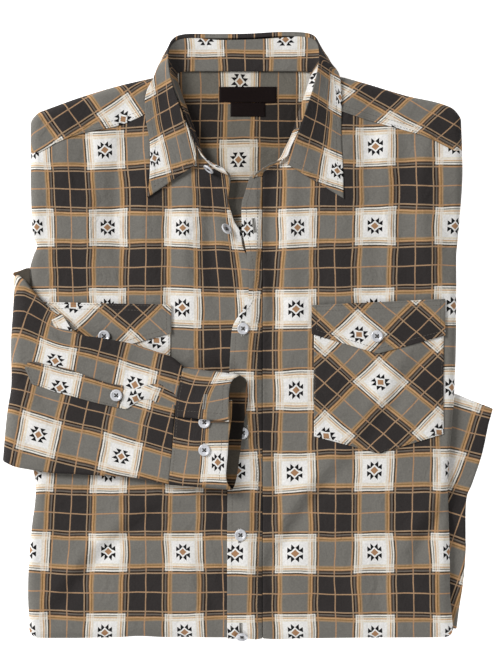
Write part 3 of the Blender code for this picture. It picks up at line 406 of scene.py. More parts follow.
SLEEVE_CHECK = Lattice(rows(
    [(-230.4, 70.8), (-246, 33.5), (-260.9, -1.5), (-268.6, -36.6), (-276.2, -71.7), (-283.9, -106.8)],
    [(-195.2, 48), (-209.7, 21.4), (-221.5, -12.7), (-229.2, -47.8), (-236.8, -82.9), (-244.5, -118)],
    [(-168.6, 29), (-178.1, 5.2), (-183.7, -23.9), (-191.4, -59), (-199, -94.1), (-206.7, -129.2)],
    [(-130.6, 35.1), (-138.3, 0), (-145.9, -35.1), (-152.9, -69.8), (-160.3, -104), (-167.6, -139)],
    [(-92.8, 23.8), (-100.5, -11.2), (-108.1, -46.4), (-114.8, -80.1), (-121.5, -113.8), (-128.2, -147.5)],
    [(-55, 12.6), (-62.7, -22.5), (-70.3, -57.6), (-76.9, -91), (-83.4, -124.5), (-90, -158)],
), -1, -1, 0.5, 0.5)
SLEEVE_PLACKET_CHECK = slanted((-179.7, -49.7), (-15, -69.5), (76, -21))
POINTED_FOLD_CHECK = slanted((-107.3, -60.7), (66, -27), (31, 69))
TURNED_CORNER_CHECK = slanted((-163.7, 7), (65, 35), (38, -67))
TUCKED_EDGE_CHECK = slanted((-247, 28), (62, 40), (40, -64))
GUSSET_CHECK = slanted((-92.5, -69.5), (66, -27), (31, 69))
CUFF_CHECK = Lattice(rows(
    [(-101.2, -148.7), (-64.1, -157.2), (-32.8, -159.1), (-0.8, -159.1)],
    [(-95.5, -110.7), (-59.2, -119.7), (-29.1, -120.7), (2.9, -120.2)],
    [(-90.7, -72.7), (-54.3, -81.7), (-28.5, -81.7), (3.8, -81.2)],
), -1, -0.5, 0.5, 0.5)
CUFF_FLAP_CHECK = Lattice(rows(
    [(-102.1, -87.9), (-65.1, -100.2), (-29, -101), (4.5, -95.5)],
    [(-93.6, -50.8), (-58.1, -63.5), (-28, -61.8), (5, -48.6)],
    [(-80.3, -14.7), (-44.7, -27.1), (-13.3, -29.9), (12.8, -23.3)],
), -1, -1, 0.5, 0.5)
LEAF_RIGHT_CHECK = Lattice(rows(
    [(-89.1, 167.7), (-66.2, 177.2)], [(-96, 203.1), (-75.2, 216.2)], [(-103, 240.8), (-79.3, 254.1)],
), 0, 0, 0.5, 0.5)
LEAF_LEFT_CHECK = Lattice(rows(
    [(54.3, 167.2), (84.5, 156.6)], [(63.6, 203.4), (86.9, 191)], [(67, 238), (86.9, 226.5)],
), 0.5, 5, 0.5, -0.5)


def srgb(code: str) -> Colour:
    """Turn an sRGB hex code such as "c8a064" into a linear colour with alpha 1."""
    values = [int(code[at:at + 2], 16) / 255.0 for at in (0, 2, 4)]
    linear = [v / 12.92 if v <= 0.04045 else ((v + 0.055) / 1.055) ** 2.4 for v in values]
    return linear[0], linear[1], linear[2], 1.0


def add_node(
    tree: NodeTree, kind: str, inputs: Sequence[Any] | dict[int | str, Any] = (), **settings: Any
) -> Node:
    """Add a shader node with its settings and links.

    Args:
        tree: The node tree to add to.
        kind: Blender's name for the node type, without its "ShaderNode".
        inputs: What each input socket gets: a socket or a node to link, or a value.
        settings: Values of the node's own properties.

    Returns:
        The new node.
    """
    node = tree.nodes.new("ShaderNode" + kind)
    for name, value in settings.items():
        setattr(node, name, value)
    for name, value in inputs.items() if isinstance(inputs, dict) else enumerate(inputs):
        value = value.outputs[0] if isinstance(value, Node) else value
        if isinstance(value, NodeSocket):
            tree.links.new(value, node.inputs[name])
        else:
            node.inputs[name].default_value = value
    return node


@dataclass(frozen=True)
class Finish:
    """A material: its name, and the nodes that a subclass puts behind its surface."""

    name: str

    def surface(self, add: Add) -> dict[str, Any]:
        """Add the surface's nodes and return the shader's inputs.

        Args:
            add: Adds a node to the material, as add_node does.

        Returns:
            What each input of the shader gets.
        """
        raise NotImplementedError

    def build(self) -> Material:
        """Return the finished material."""
        material = bpy.data.materials.new(self.name)
        material.use_nodes = True
        tree = material.node_tree
        tree.nodes.clear()
        shader = add_node(tree, "BsdfPrincipled", self.surface(partial(add_node, tree)))
        add_node(tree, "OutputMaterial", (shader,))
        return material


class Stripe(NamedTuple):
    """A stripe of the check: where it starts from a motif's centre, and its colour on light and on dark."""

    start: float
    on_light: str
    on_dark: str
    field: bool = False


@dataclass(frozen=True)
class CheckedCotton(Finish):
    """Soft yarn-dyed cotton shirting in a charcoal, grey, white and tan check.

    Real shirting of this weight is matt with a faint nap, so it has no gloss and a soft sheen at grazing
    angles. Its yarns lie 0.4 mm apart, and are drawn at 0.9 mm so that they can be seen.

    Attributes:
        name: The material's name.
        shade: Brightness of the side that shows, 1 for the right side; lower values make darker copies of the cloth,
            which are painted shade.
        warmth: Colour that the whole cloth is multiplied by, which also tints the painted shade of the darker copies.
        yarn_mm: Distance between the yarns.
        across: The stripes met on the way across the cloth.
        along: The stripes met on the way along it.
        light_mm: Where the light field ends, across and along, from a motif's centre.
        steps: The black steps of a quarter of the motif, as triangles.
        diamonds: The motif's diamonds: half width, half height and colour.
    """

    name: str = "yarn_dyed_checked_cotton"
    shade: float = 1.0
    warmth: str = "ffffff"
    yarn_mm: float = 0.9
    across: tuple[Stripe, ...] = (
        Stripe(0.0, "eae8e5", "76736d", True), Stripe(10.9, "e3dfd6", "8a7c69"), Stripe(11.8, "e2d6c6", "a88866"),
        Stripe(12.9, "e9e3da", "87683f"), Stripe(14.0, "cbaa88", "b89167"), Stripe(15.1, "dccbb6", "ae8762"),
        Stripe(15.7, "e2ddd4", "4f4236"), Stripe(16.3, "77746c", "463b32"), Stripe(17.2, "e2dfd7", "6a625a"),
        Stripe(18.6, "4b4136", "281b14"), Stripe(20.0, "b48d69", "a0866a"), Stripe(21.3, "76736d", "332f2e", True),
        Stripe(36.4, "b08a69", "a58567"),
    )
    along: tuple[Stripe, ...] = (
        Stripe(0.0, "eae8e5", "76736d", True), Stripe(11.0, "e3ddd0", "8c7c67"), Stripe(11.8, "e4d8c4", "a68664"),
        Stripe(12.9, "eae4da", "8e7048"), Stripe(13.9, "cfae8c", "bc966e"), Stripe(14.9, "dccbb4", "b38b65"),
        Stripe(15.5, "dcd6cb", "4f4236"), Stripe(16.1, "77746c", "443931"), Stripe(17.0, "e8e5de", "6c645c"),
        Stripe(18.4, "4b4136", "281b14"), Stripe(19.8, "b48d69", "a0866b"), Stripe(21.1, "76736d", "332f2e", True),
        Stripe(37.8, "b08a69", "a88869"),
    )
    light_mm: tuple[float, float] = (18.6, 18.1)
    steps: tuple[tuple[tuple[float, float], ...], ...] = (
        ((3.5, 8.6), (0.0, 5.2), (3.6, 1.9)), ((6.8, 5.9), (2.7, 2.6), (6.8, 0.7)),
    )
    diamonds: tuple[tuple[float, float, str], ...] = ((5.5, 5.5, "ecebe8"), (3.65, 3.5, "a9815f"))

    def ramp(self, add: Add, stripes: Sequence[Stripe], half: float, at: Node, pick: Callable[[Stripe], Any]) -> Node:
        """Return stripes as a stepped ramp over the distance from a motif's centre.

        Args:
            add: Adds a node.
            stripes: The stripes.
            half: Half the repeat, where the ramp ends.
            at: Node that gives the distance.
            pick: Gives a stripe's colour.

        Returns:
            The ramp's node.
        """
        node = add("ValToRGB", (add("Math", (at, half), operation="DIVIDE"),))
        node.color_ramp.interpolation = "CONSTANT"
        elements = node.color_ramp.elements
        for number, stripe in enumerate(stripes):
            element = elements[number] if number < 2 else elements.new(stripe.start / half)
            element.position, element.color = stripe.start / half, pick(stripe)
        return node

    def motif(self, add: Add, u: Node, v: Node, ground: NodeSocket) -> NodeSocket:
        """Lay the small stepped diamond over the ground, from one quarter of it by symmetry.

        Args:
            add: Adds a node.
            u: Distance from the motif's centre across the cloth.
            v: Distance along the cloth.
            ground: Colour under the motif.

        Returns:
            The colour with the motif.
        """
        quarter = add("CombineXYZ", (u, v, 1.0))
        black: Any = -1.0
        for corners in self.steps:
            inside: Any = None
            middle = np.mean(corners, axis=0)
            for start, stop in zip(corners, corners[1:] + corners[:1]):
                normal = np.array([stop[1] - start[1], start[0] - stop[0]])
                normal = normal / np.hypot(*normal)
                offset = -float(np.dot(normal, start))
                if np.dot(normal, middle) + offset < 0:
                    normal, offset = -normal, -offset
                plane = (float(normal[0]), float(normal[1]), offset)
                side = add("VectorMath", (quarter, plane), operation="DOT_PRODUCT").outputs["Value"]
                inside = side if inside is None else add("Math", (inside, side), operation="MINIMUM")
            black = add("Math", (black, inside), operation="MAXIMUM")
        share = add("Math", (black, 0.0), operation="GREATER_THAN")
        colour = add("Mix", {0: share, 6: ground, 7: srgb("161517")}, data_type="RGBA").outputs[2]
        for half_u, half_v, code in self.diamonds:
            parts = [add("Math", part, operation="DIVIDE") for part in ((u, half_u), (v, half_v))]
            share = add("Math", (add("Math", parts, operation="ADD"), 1.0), operation="LESS_THAN")
            colour = add("Mix", {0: share, 6: colour, 7: srgb(code)}, data_type="RGBA").outputs[2]
        return colour

    def surface(self, add: Add) -> dict[str, Any]:
        """Add the cloth's nodes and return the shader's inputs."""
        place = add("VectorMath", {0: add("UVMap", uv_map="cloth"), "Scale": 1000.0}, operation="SCALE")
        wander = add("TexNoise", {"Vector": place, "Scale": 0.016, "Detail": 2.0}, noise_dimensions="2D")
        centred = add("VectorMath", (wander.outputs["Color"], (0.5, 0.5, 0.5)), operation="SUBTRACT")
        drift = add("VectorMath", {0: centred, "Scale": 5.0}, operation="SCALE")
        place = add("VectorMath", (place, drift), operation="ADD")
        parts = add("SeparateXYZ", (place,)).outputs
        halves = (REPEAT_U / 2, REPEAT_V / 2)
        u, v = (add("Math", (parts[k], halves[k]), operation="PINGPONG") for k in (0, 1))
        light_u, light_v = (
            add("Math", (at, self.light_mm[k]), operation="LESS_THAN") for k, at in enumerate((u, v))
        )
        colours, striped = [], []
        for stripes, half, at, crossing in (
            (self.across, halves[0], u, light_v), (self.along, halves[1], v, light_u),
        ):
            on_dark = self.ramp(add, stripes, half, at, lambda stripe: srgb(stripe.on_dark))
            on_light = self.ramp(add, stripes, half, at, lambda stripe: srgb(stripe.on_light))
            colours.append(add("Mix", {0: crossing, 6: on_dark, 7: on_light}, data_type="RGBA").outputs[2])
            striped.append(self.ramp(add, stripes, half, at, lambda stripe: (float(not stripe.field),) * 3 + (1.0,)))
        both = add("Math", striped, operation="MULTIPLY")
        halved = add("Math", (both, 0.5), operation="MULTIPLY")
        share = add("Math", (striped[1], add("Math", (1.0, halved), operation="SUBTRACT")), operation="MULTIPLY")
        crossing = {6: colours[0], 7: colours[1]}
        check = add("Mix", {0: share, **crossing}, data_type="RGBA").outputs[2]
        crossed = add("Mix", {0: 1.0, **crossing}, data_type="RGBA", blend_type="LIGHTEN").outputs[2]
        light = add("Math", (add("Math", (light_u, light_v), operation="MULTIPLY"), 0.6), operation="MULTIPLY")
        dark = add("Math", (0.85, light), operation="SUBTRACT")
        share = add("Math", (both, dark), operation="MULTIPLY")
        check = self.motif(add, u, v, add("Mix", {0: share, 6: check, 7: crossed}, data_type="RGBA").outputs[2])
        nap = add("TexNoise", {"Vector": place, "Scale": 0.55, "Detail": 4.0, "Roughness": 0.65}, noise_dimensions="2D")
        cloudy = add("TexNoise", {"Vector": place, "Scale": 0.035, "Detail": 2.0}, noise_dimensions="2D")
        turns = math.tau / self.yarn_mm
        yarns = [add("Math", (add("Math", (parts[k], turns), operation="MULTIPLY"),), operation="SINE") for k in (0, 1)]
        weave = add("Math", yarns, operation="MULTIPLY")
        tone = add("Math", (nap, 0.50, 0.75), operation="MULTIPLY_ADD")
        for measure, swing, level in ((cloudy, 0.16, 0.92), (weave, 0.04, self.shade)):
            change = add("Math", (measure, swing, level), operation="MULTIPLY_ADD")
            tone = add("Math", (tone, change), operation="MULTIPLY")
        dyed: Any = check
        for colour in (add("CombineXYZ", (tone, tone, tone)), srgb(self.warmth)):
            dyed = add("Mix", {0: 1.0, 6: dyed, 7: colour}, data_type="RGBA", blend_type="MULTIPLY").outputs[2]
        height = add("Math", (add("Math", (weave, 0.5), operation="MULTIPLY"), nap), operation="ADD")
        rumple = add(
            "TexNoise", {"Vector": place, "Scale": 0.055, "Detail": 3.0, "Roughness": 0.55, "Distortion": 0.6},
            noise_dimensions="2D",
        )
        soft = add("Bump", {"Strength": 1.0, "Distance": 0.0016, "Height": rumple})
        bump = add("Bump", {"Strength": 0.35, "Distance": 0.00025, "Height": height, "Normal": soft})
        return {
            "Base Color": dyed, "Roughness": 0.9, "Metallic": 0.0, "IOR": 1.5, "Specular IOR Level": 0.15,
            "Sheen Weight": 0.04, "Sheen Roughness": 0.45, "Normal": bump,
        }


@dataclass(frozen=True)
class WovenSatin(Finish):
    """Black-brown satin-woven polyester tape, folded and pressed: smooth, a little shiny, fine ribs across."""

    name: str = "woven_satin_label"
    colour: str = "120706"
    rib_mm: float = 0.8

    def surface(self, add: Add) -> dict[str, Any]:
        """Add the tape's nodes and return the shader's inputs."""
        place = add("VectorMath", {0: add("UVMap", uv_map="cloth"), "Scale": 1000.0}, operation="SCALE")
        parts = add("SeparateXYZ", (place,)).outputs
        turns = add("Math", (parts[1], math.tau / self.rib_mm), operation="MULTIPLY")
        rib = add("Math", (turns,), operation="SINE")
        cloudy = add("TexNoise", {"Vector": place, "Scale": 0.5, "Detail": 3.0}, noise_dimensions="2D")
        tone = add("Math", (cloudy, 0.7, 0.65), operation="MULTIPLY_ADD")
        grey = add("CombineXYZ", (tone, tone, tone))
        height = add("Math", (rib, 0.5, cloudy), operation="MULTIPLY_ADD")
        bump = add("Bump", {"Strength": 0.4, "Distance": 0.0002, "Height": height})
        tint = add("Mix", {0: 1.0, 6: srgb(self.colour), 7: grey}, data_type="RGBA", blend_type="MULTIPLY").outputs[2]
        return {
            "Base Color": tint, "Roughness": 0.55, "Metallic": 0.0, "IOR": 1.5, "Specular IOR Level": 0.12,
            "Normal": bump,
        }


@dataclass(frozen=True)
class PearlResin(Finish):
    """Cast and polished polyester resin with a faint pearly cloud, as on a shirt button."""

    name: str = "polished_pearl_resin"
    colour: str = "e3e3e6"
    cloud_mm: float = 3.0

    def surface(self, add: Add) -> dict[str, Any]:
        """Add the resin's nodes and return the shader's inputs."""
        place = add("TexCoord").outputs["Object"]
        cloud = add("TexNoise", {"Vector": place, "Scale": 1000.0 / self.cloud_mm, "Detail": 2.0})
        tint = add("Mix", {0: cloud, 6: srgb(self.colour), 7: srgb("bdbfc6")}, data_type="RGBA").outputs[2]
        return {
            "Base Color": tint, "Roughness": 0.28, "Metallic": 0.0, "IOR": 1.55, "Coat Weight": 0.4,
            "Coat Roughness": 0.12,
        }


@dataclass(frozen=True)
class SewingThread(Finish):
    """Spun polyester sewing thread: matt, with a fine twist across it."""

    colour: str
    twist_mm: float = 0.5

    def surface(self, add: Add) -> dict[str, Any]:
        """Add the thread's nodes and return the shader's inputs."""
        place = add("TexCoord").outputs["Object"]
        twist = add("TexNoise", {"Vector": place, "Scale": 1000.0 / self.twist_mm, "Detail": 1.0})
        share = add("Math", (twist, 0.5), operation="MULTIPLY")
        tint = add("Mix", {0: share, 6: srgb(self.colour), 7: srgb("2a2624")}, data_type="RGBA").outputs[2]
        return {"Base Color": tint, "Roughness": 0.8, "Metallic": 0.0, "IOR": 1.5}


@dataclass(frozen=True)
class StudioPaper(Finish):
    """Matt white background paper that glows a little, so that it stays white."""

    name: str = "pale_studio_paper"

    def surface(self, add: Add) -> dict[str, Any]:
        """Add the paper's nodes and return the shader's inputs."""
        grain = add("TexNoise", {"Scale": 60.0, "Detail": 2.0})
        tint = add("Mix", {0: grain, 6: srgb("fbfbfb"), 7: srgb("ffffff")}, data_type="RGBA").outputs[2]
        return {"Base Color": tint, "Roughness": 0.9, "Emission Color": srgb("ffffff"), "Emission Strength": 0.9}


@dataclass
class Finishes:
    """The shirt's materials, each built once."""

    cotton: Material = field(default_factory=CheckedCotton().build)
    # The wrong side is drawn as a slightly dimmer, warmer copy of the cloth: painted shade for the inside seen down the
    # neck, the stacked layers at the folds and the undersides.
    inside: Material = field(default_factory=CheckedCotton("checked_cotton_wrong_side", 0.92, "efece6").build)
    # A much darker, warmer copy of the cloth: painted shade for the inside of the cuff and the strip tucked under the
    # sleeve's fold.
    painted_shade_cloth: Material = field(default_factory=CheckedCotton("checked_cotton_inside_cuff", 0.6, "ece2d6").build)
    satin: Material = field(default_factory=WovenSatin().build)
    resin: Material = field(default_factory=PearlResin().build)
    seam_thread: Material = field(default_factory=SewingThread("grey_seam_thread", "6b655c").build)
    buttonhole_thread: Material = field(default_factory=SewingThread("pale_buttonhole_thread", "b5b2ab").build)
    # Dark thread for the buttons; the same material also draws a dark strip in each buttonhole's slit, painted shadow
    # of the cut.
    button_thread: Material = field(default_factory=SewingThread("dark_button_thread", "4a4744").build)


class Slot(Enum):
    """The record's material slots."""

    COTTON = "checked_cotton"
    INSIDE = "checked_cotton_inside"
    LABEL = "woven_label"
    BUTTON = "shirt_button"


@dataclass
class Shell:
    """A thin wall of cloth under a surface of quads.

    Attributes:
        name: The piece's name.
        points: The surface's points in millimetres.
        quads: Corner indices of each quad, turning left seen from the right side.
        chart: Place of each point in the uncut cloth, in millimetres.
        wall: Thickness of the cloth.
        soften: How far the free edge is rounded down.
        up: Whether the quads are turned to face up on the whole when the mesh is made.
    """

    name: str
    points: Array
    quads: Array
    chart: Array
    wall: float = 1.0
    soften: float = 0.4
    up: bool = True

    def face_normals(self, points: Array) -> Array:
        """Return the quads' normals, as long as twice their areas."""
        corner = points[self.quads]
        return np.cross(corner[:, 2] - corner[:, 0], corner[:, 3] - corner[:, 1])

    def normals(self, points: Array) -> Array:
        """Return unit normals at the points."""
        faces = self.face_normals(points)
        total = np.zeros_like(points)
        for corner in range(4):
            np.add.at(total, self.quads[:, corner], faces)
        return unit(total)

    def turn_up(self, chosen: Any) -> None:
        """Turn every quad over if the chosen ones face down on the whole."""
        if self.face_normals(self.points)[chosen, 2].sum() < 0:
            self.quads = self.quads[:, ::-1]

    def border(self) -> Array:
        """Return the free edges as (start, stop) pairs in the quads' own direction."""
        pairs = np.concatenate([self.quads[:, [a, (a + 1) % 4]] for a in range(4)])
        keys = np.sort(pairs, axis=1)
        _, where, count = np.unique(keys, axis=0, return_inverse=True, return_counts=True)
        return pairs[count[where.ravel()] == 1]

    def build(self, finish: Material, back: Material | None = None) -> Object:
        """Make the closed mesh.

        Args:
            finish: Material of the right side and the edge.
            back: Material of the wrong side, or None for the same.

        Returns:
            The new object.
        """
        if self.up:
            self.turn_up(slice(None))
        points = self.points.copy()
        normals = self.normals(points)
        border = self.border()
        edge = np.unique(border)
        under = points - normals * self.wall
        points[edge] -= normals[edge] * self.soften
        count = len(points)
        rim = np.stack([border[:, 1], border[:, 0], border[:, 0] + count, border[:, 1] + count], 1)
        faces = np.concatenate([self.quads, self.quads[:, ::-1] + count, rim])
        return mesh_object(
            self.name, np.concatenate([points, under]), faces, np.concatenate([self.chart, self.chart]),
            [finish, back or finish], np.repeat([0, 1, 0], [len(self.quads), len(self.quads), len(rim)]),
        )


def new_object(name: str, data: Any) -> Object:
    """Return a new object of a mesh, a light or a camera, linked to the scene."""
    item = bpy.data.objects.new(name, data)
    bpy.context.scene.collection.objects.link(item)
    return item


def mesh_object(
    name: str, points: Array, faces: Any, chart: Array | None, finishes: Sequence[Material],
    finish_of: Array | None = None,
) -> Object:
    """Make a mesh object.

    Args:
        name: The object's name.
        points: Points in millimetres.
        faces: Corner indices of each face.
        chart: (u, v) of each point in millimetres of cloth, or None if it isn't cloth.
        finishes: The materials.
        finish_of: Material index of each face.

    Returns:
        The new object, linked to the scene.
    """
    mesh = bpy.data.meshes.new(name)
    faces = faces.tolist() if isinstance(faces, np.ndarray) else faces
    mesh.from_pydata((np.asarray(points) * MM).tolist(), [], faces)
    for finish in finishes:
        mesh.materials.append(finish)
    if finish_of is not None:
        mesh.polygons.foreach_set("material_index", np.asarray(finish_of, np.int32))
    corner = np.zeros(len(mesh.loops), np.int32)
    mesh.loops.foreach_get("vertex_index", corner)
    layer = mesh.uv_layers.new(name="cloth")
    chart = np.zeros((len(points), 2)) if chart is None else chart
    layer.uv.foreach_set("vector", (chart[corner] * MM).ravel().astype(np.float32))
    mesh.shade_smooth()
    return new_object(name, mesh)


def grid_quads(row_count: int, col_count: int, closed: bool = False) -> Array:
    """Return the quads of a grid of points in row order, closed across its rows if asked.

    Args:
        row_count: Rows of the grid.
        col_count: Columns of the grid.
        closed: Whether the last column joins the first.

    Returns:
        Corner indices of each quad.
    """
    row, col = np.meshgrid(np.arange(row_count - 1), np.arange(col_count - (not closed)), indexing="ij")
    here, after = row * col_count + col, row * col_count + (col + 1) % col_count
    return np.stack([quad.ravel() for quad in (here, after, after + col_count, here + col_count)], 1)


def tube_faces(ring_count: int, count: int, start: int = 0) -> list[list[int]]:
    """Return the faces of a tube of rings of points, closed at both ends, from a first point on.

    Args:
        ring_count: Rings of the tube.
        count: Points of a ring.
        start: Index of the first point.

    Returns:
        Corner indices of each face.
    """
    sides = grid_quads(ring_count, count, closed=True) + start
    last = start + (ring_count - 1) * count
    return sides.tolist() + [list(range(start, start + count))[::-1], list(range(last, last + count))]


def grid_shell(name: str, grid: Array, chart: Array, **settings: Any) -> Shell:
    """Return a shell over a grid of points with its chart."""
    quads = grid_quads(grid.shape[0], grid.shape[1])
    return Shell(name, grid.reshape(-1, 3), quads, chart.reshape(-1, 2), **settings)


def edged(start: float, stop: float, step: float, edge: float = 0.7) -> Array:
    """Return places from start to stop about a step apart, with one more close to each end.

    Args:
        start: First place.
        stop: Last place.
        step: Rough distance between places.
        edge: Distance of the extra places from the ends.

    Returns:
        The places.
    """
    count = max(2, int(round(abs(stop - start) / step)) + 1)
    places = np.linspace(start, stop, count)
    inset = edge * np.sign(stop - start)
    return np.concatenate([[start], [start + inset], places[1:-1], [stop - inset], [stop]])


@dataclass(frozen=True)
class Run:
    """Stations along one way of a panel: shares of its flat part, and angles round a fold at either end."""

    share: Array
    first: Array
    last: Array

    @staticmethod
    def make(
        count: int, first_fold: bool, last_fold: bool, edge_share: float = 0.0,
        degrees: Sequence[int] = (8, 16, 25, 34, 43, 52, 61, 70, 80, 90),
    ) -> Run:
        """Lay out stations.

        Args:
            count: Stations on the flat part.
            first_fold: Whether it starts with a fold.
            last_fold: Whether it ends with a fold.
            edge_share: Share at which one more station lies close to an end without a fold.
            degrees: Angles of the stations round a fold.

        Returns:
            The stations.
        """
        turns = np.radians(degrees)
        share = np.linspace(0.0, 1.0, count)
        if edge_share and not first_fold:
            share = np.concatenate([[0.0, edge_share], share[1:]])
        if edge_share and not last_fold:
            share = np.concatenate([share[:-1], [1.0 - edge_share, 1.0]])
        first, last = np.zeros_like(share), np.zeros_like(share)
        if first_fold:
            share = np.concatenate([np.zeros(len(turns)), share])
            first = np.concatenate([turns[::-1], first])
            last = np.concatenate([np.zeros(len(turns)), last])
        if last_fold:
            share = np.concatenate([share, np.ones(len(turns))])
            first = np.concatenate([first, np.zeros(len(turns))])
            last = np.concatenate([last, turns])
        return Run(share, first, last)

    def column(self) -> Run:
        """Return the same stations as a column, one for each row of a grid."""
        return Run(self.share[:, None], self.first[:, None], self.last[:, None])

    def spread(self, start: Array, stop: Array, radius: float, girth: float | None = None) -> Array:
        """Place the stations between two ends, seen in plan, or unfolded where a girth radius is given.

        Args:
            start: Where each line starts.
            stop: Where each line stops.
            radius: Radius of the folds.
            girth: Radius that the cloth round a fold is measured at, or None for places in plan.

        Returns:
            The place of each station.
        """
        way = np.sign(stop - start)
        low, high = start + way * radius * self.first.any(), stop - way * radius * self.last.any()
        base = low * (1 - self.share) + high * self.share
        if girth is None:
            return base + way * radius * (np.sin(self.last) - np.sin(self.first))
        return base + way * girth * (self.last - self.first)


@dataclass
class Body:
    """The form of the folded body: its outline, the rise of its front and its creases."""

    crease_share: float = 1.75
    half_width: float = 205.0
    half_length: float = 260.0
    middle_y: float = -30.0

    def side(self, y: Array, side: int) -> Array:
        """Return plan x of a side fold."""
        return read(SIDE_LEFT if side > 0 else SIDE_RIGHT, y)

    def end(self, x: Array, end: int) -> Array:
        """Return plan y of the shoulder fold (1) or the bottom fold (-1)."""
        return read(SHOULDER_FOLD if end > 0 else BOTTOM_FOLD, x)

    def smooth(self, x: Array, y: Array) -> Array:
        """Return the height of the fronts away from the folds, without creases."""
        across = 1.0 - np.minimum(1.0, np.abs(x) / self.half_width) ** 2
        along = 1.0 - np.minimum(1.0, np.abs(y - self.middle_y) / self.half_length) ** 2
        return FRONT_TOP + PILLOW * across * along

    def height(self, x: Array, y: Array) -> Array:
        """Return the height of the fronts away from the folds, with creases where no sleeve presses on them."""
        above = (y - np.interp(x, (-205, -60, 0, 12), (64, -26, -30, -160))) / 14.0
        free = np.where(x > 8, 1.0, np.clip(np.maximum(above, (-150.0 - y) / 14.0), 0.0, 1.0))
        return self.smooth(x, y) + self.crease_share * relief(BODY_CREASES, x, y) * free

    def folded(self, x: Array, y: Array, turn_x: Array, turn_y: Array) -> Array:
        """Turn plan places down round the body's folds.

        Args:
            x: Plan x of each place.
            y: Plan y of each place.
            turn_x: Angle round the side fold, 0 on the flat part.
            turn_y: Angle round the end fold.

        Returns:
            The points.
        """
        side, end = np.sign(x), np.sign(y)
        from_side = side * (np.where(side > 0, self.side(y, 1), self.side(y, -1)) - x)
        from_end = end * (np.where(end > 0, self.end(x, 1), self.end(x, -1)) - y)
        from_side = np.where(turn_x > 0, FOLD_R * (1 - np.sin(turn_x)), from_side)
        from_end = np.where(turn_y > 0, FOLD_R * (1 - np.sin(turn_y)), from_end)
        z = FOLD_Z + (self.height(x, y) - FOLD_Z) * np.cos(turn_x) * np.cos(turn_y)
        return np.stack([*rounded_corner(x, y, from_side, from_end, CORNER_R), z], -1)


def rounded_corner(x: Array, y: Array, from_side: Array, from_end: Array, radius: float) -> tuple[Array, Array]:
    """Move plan places in from a corner between two folds, so that it is round.

    Args:
        x: Plan x of each place.
        y: Plan y of each place.
        from_side: Distance in from the side fold.
        from_end: Distance in from the end fold.
        radius: The corner's radius.

    Returns:
        Plan x and y of each place.
    """
    across, along = np.clip(1 - from_side / radius, 0, 1), np.clip(1 - from_end / radius, 0, 1)
    corner = (across > 0) & (along > 0)
    move_x = np.where(corner, from_side - radius * (1 - across * np.sqrt(1 - along ** 2 / 2)), 0.0)
    move_y = np.where(corner, from_end - radius * (1 - along * np.sqrt(1 - across ** 2 / 2)), 0.0)
    return x + np.sign(x) * move_x, y + np.sign(y) * move_y


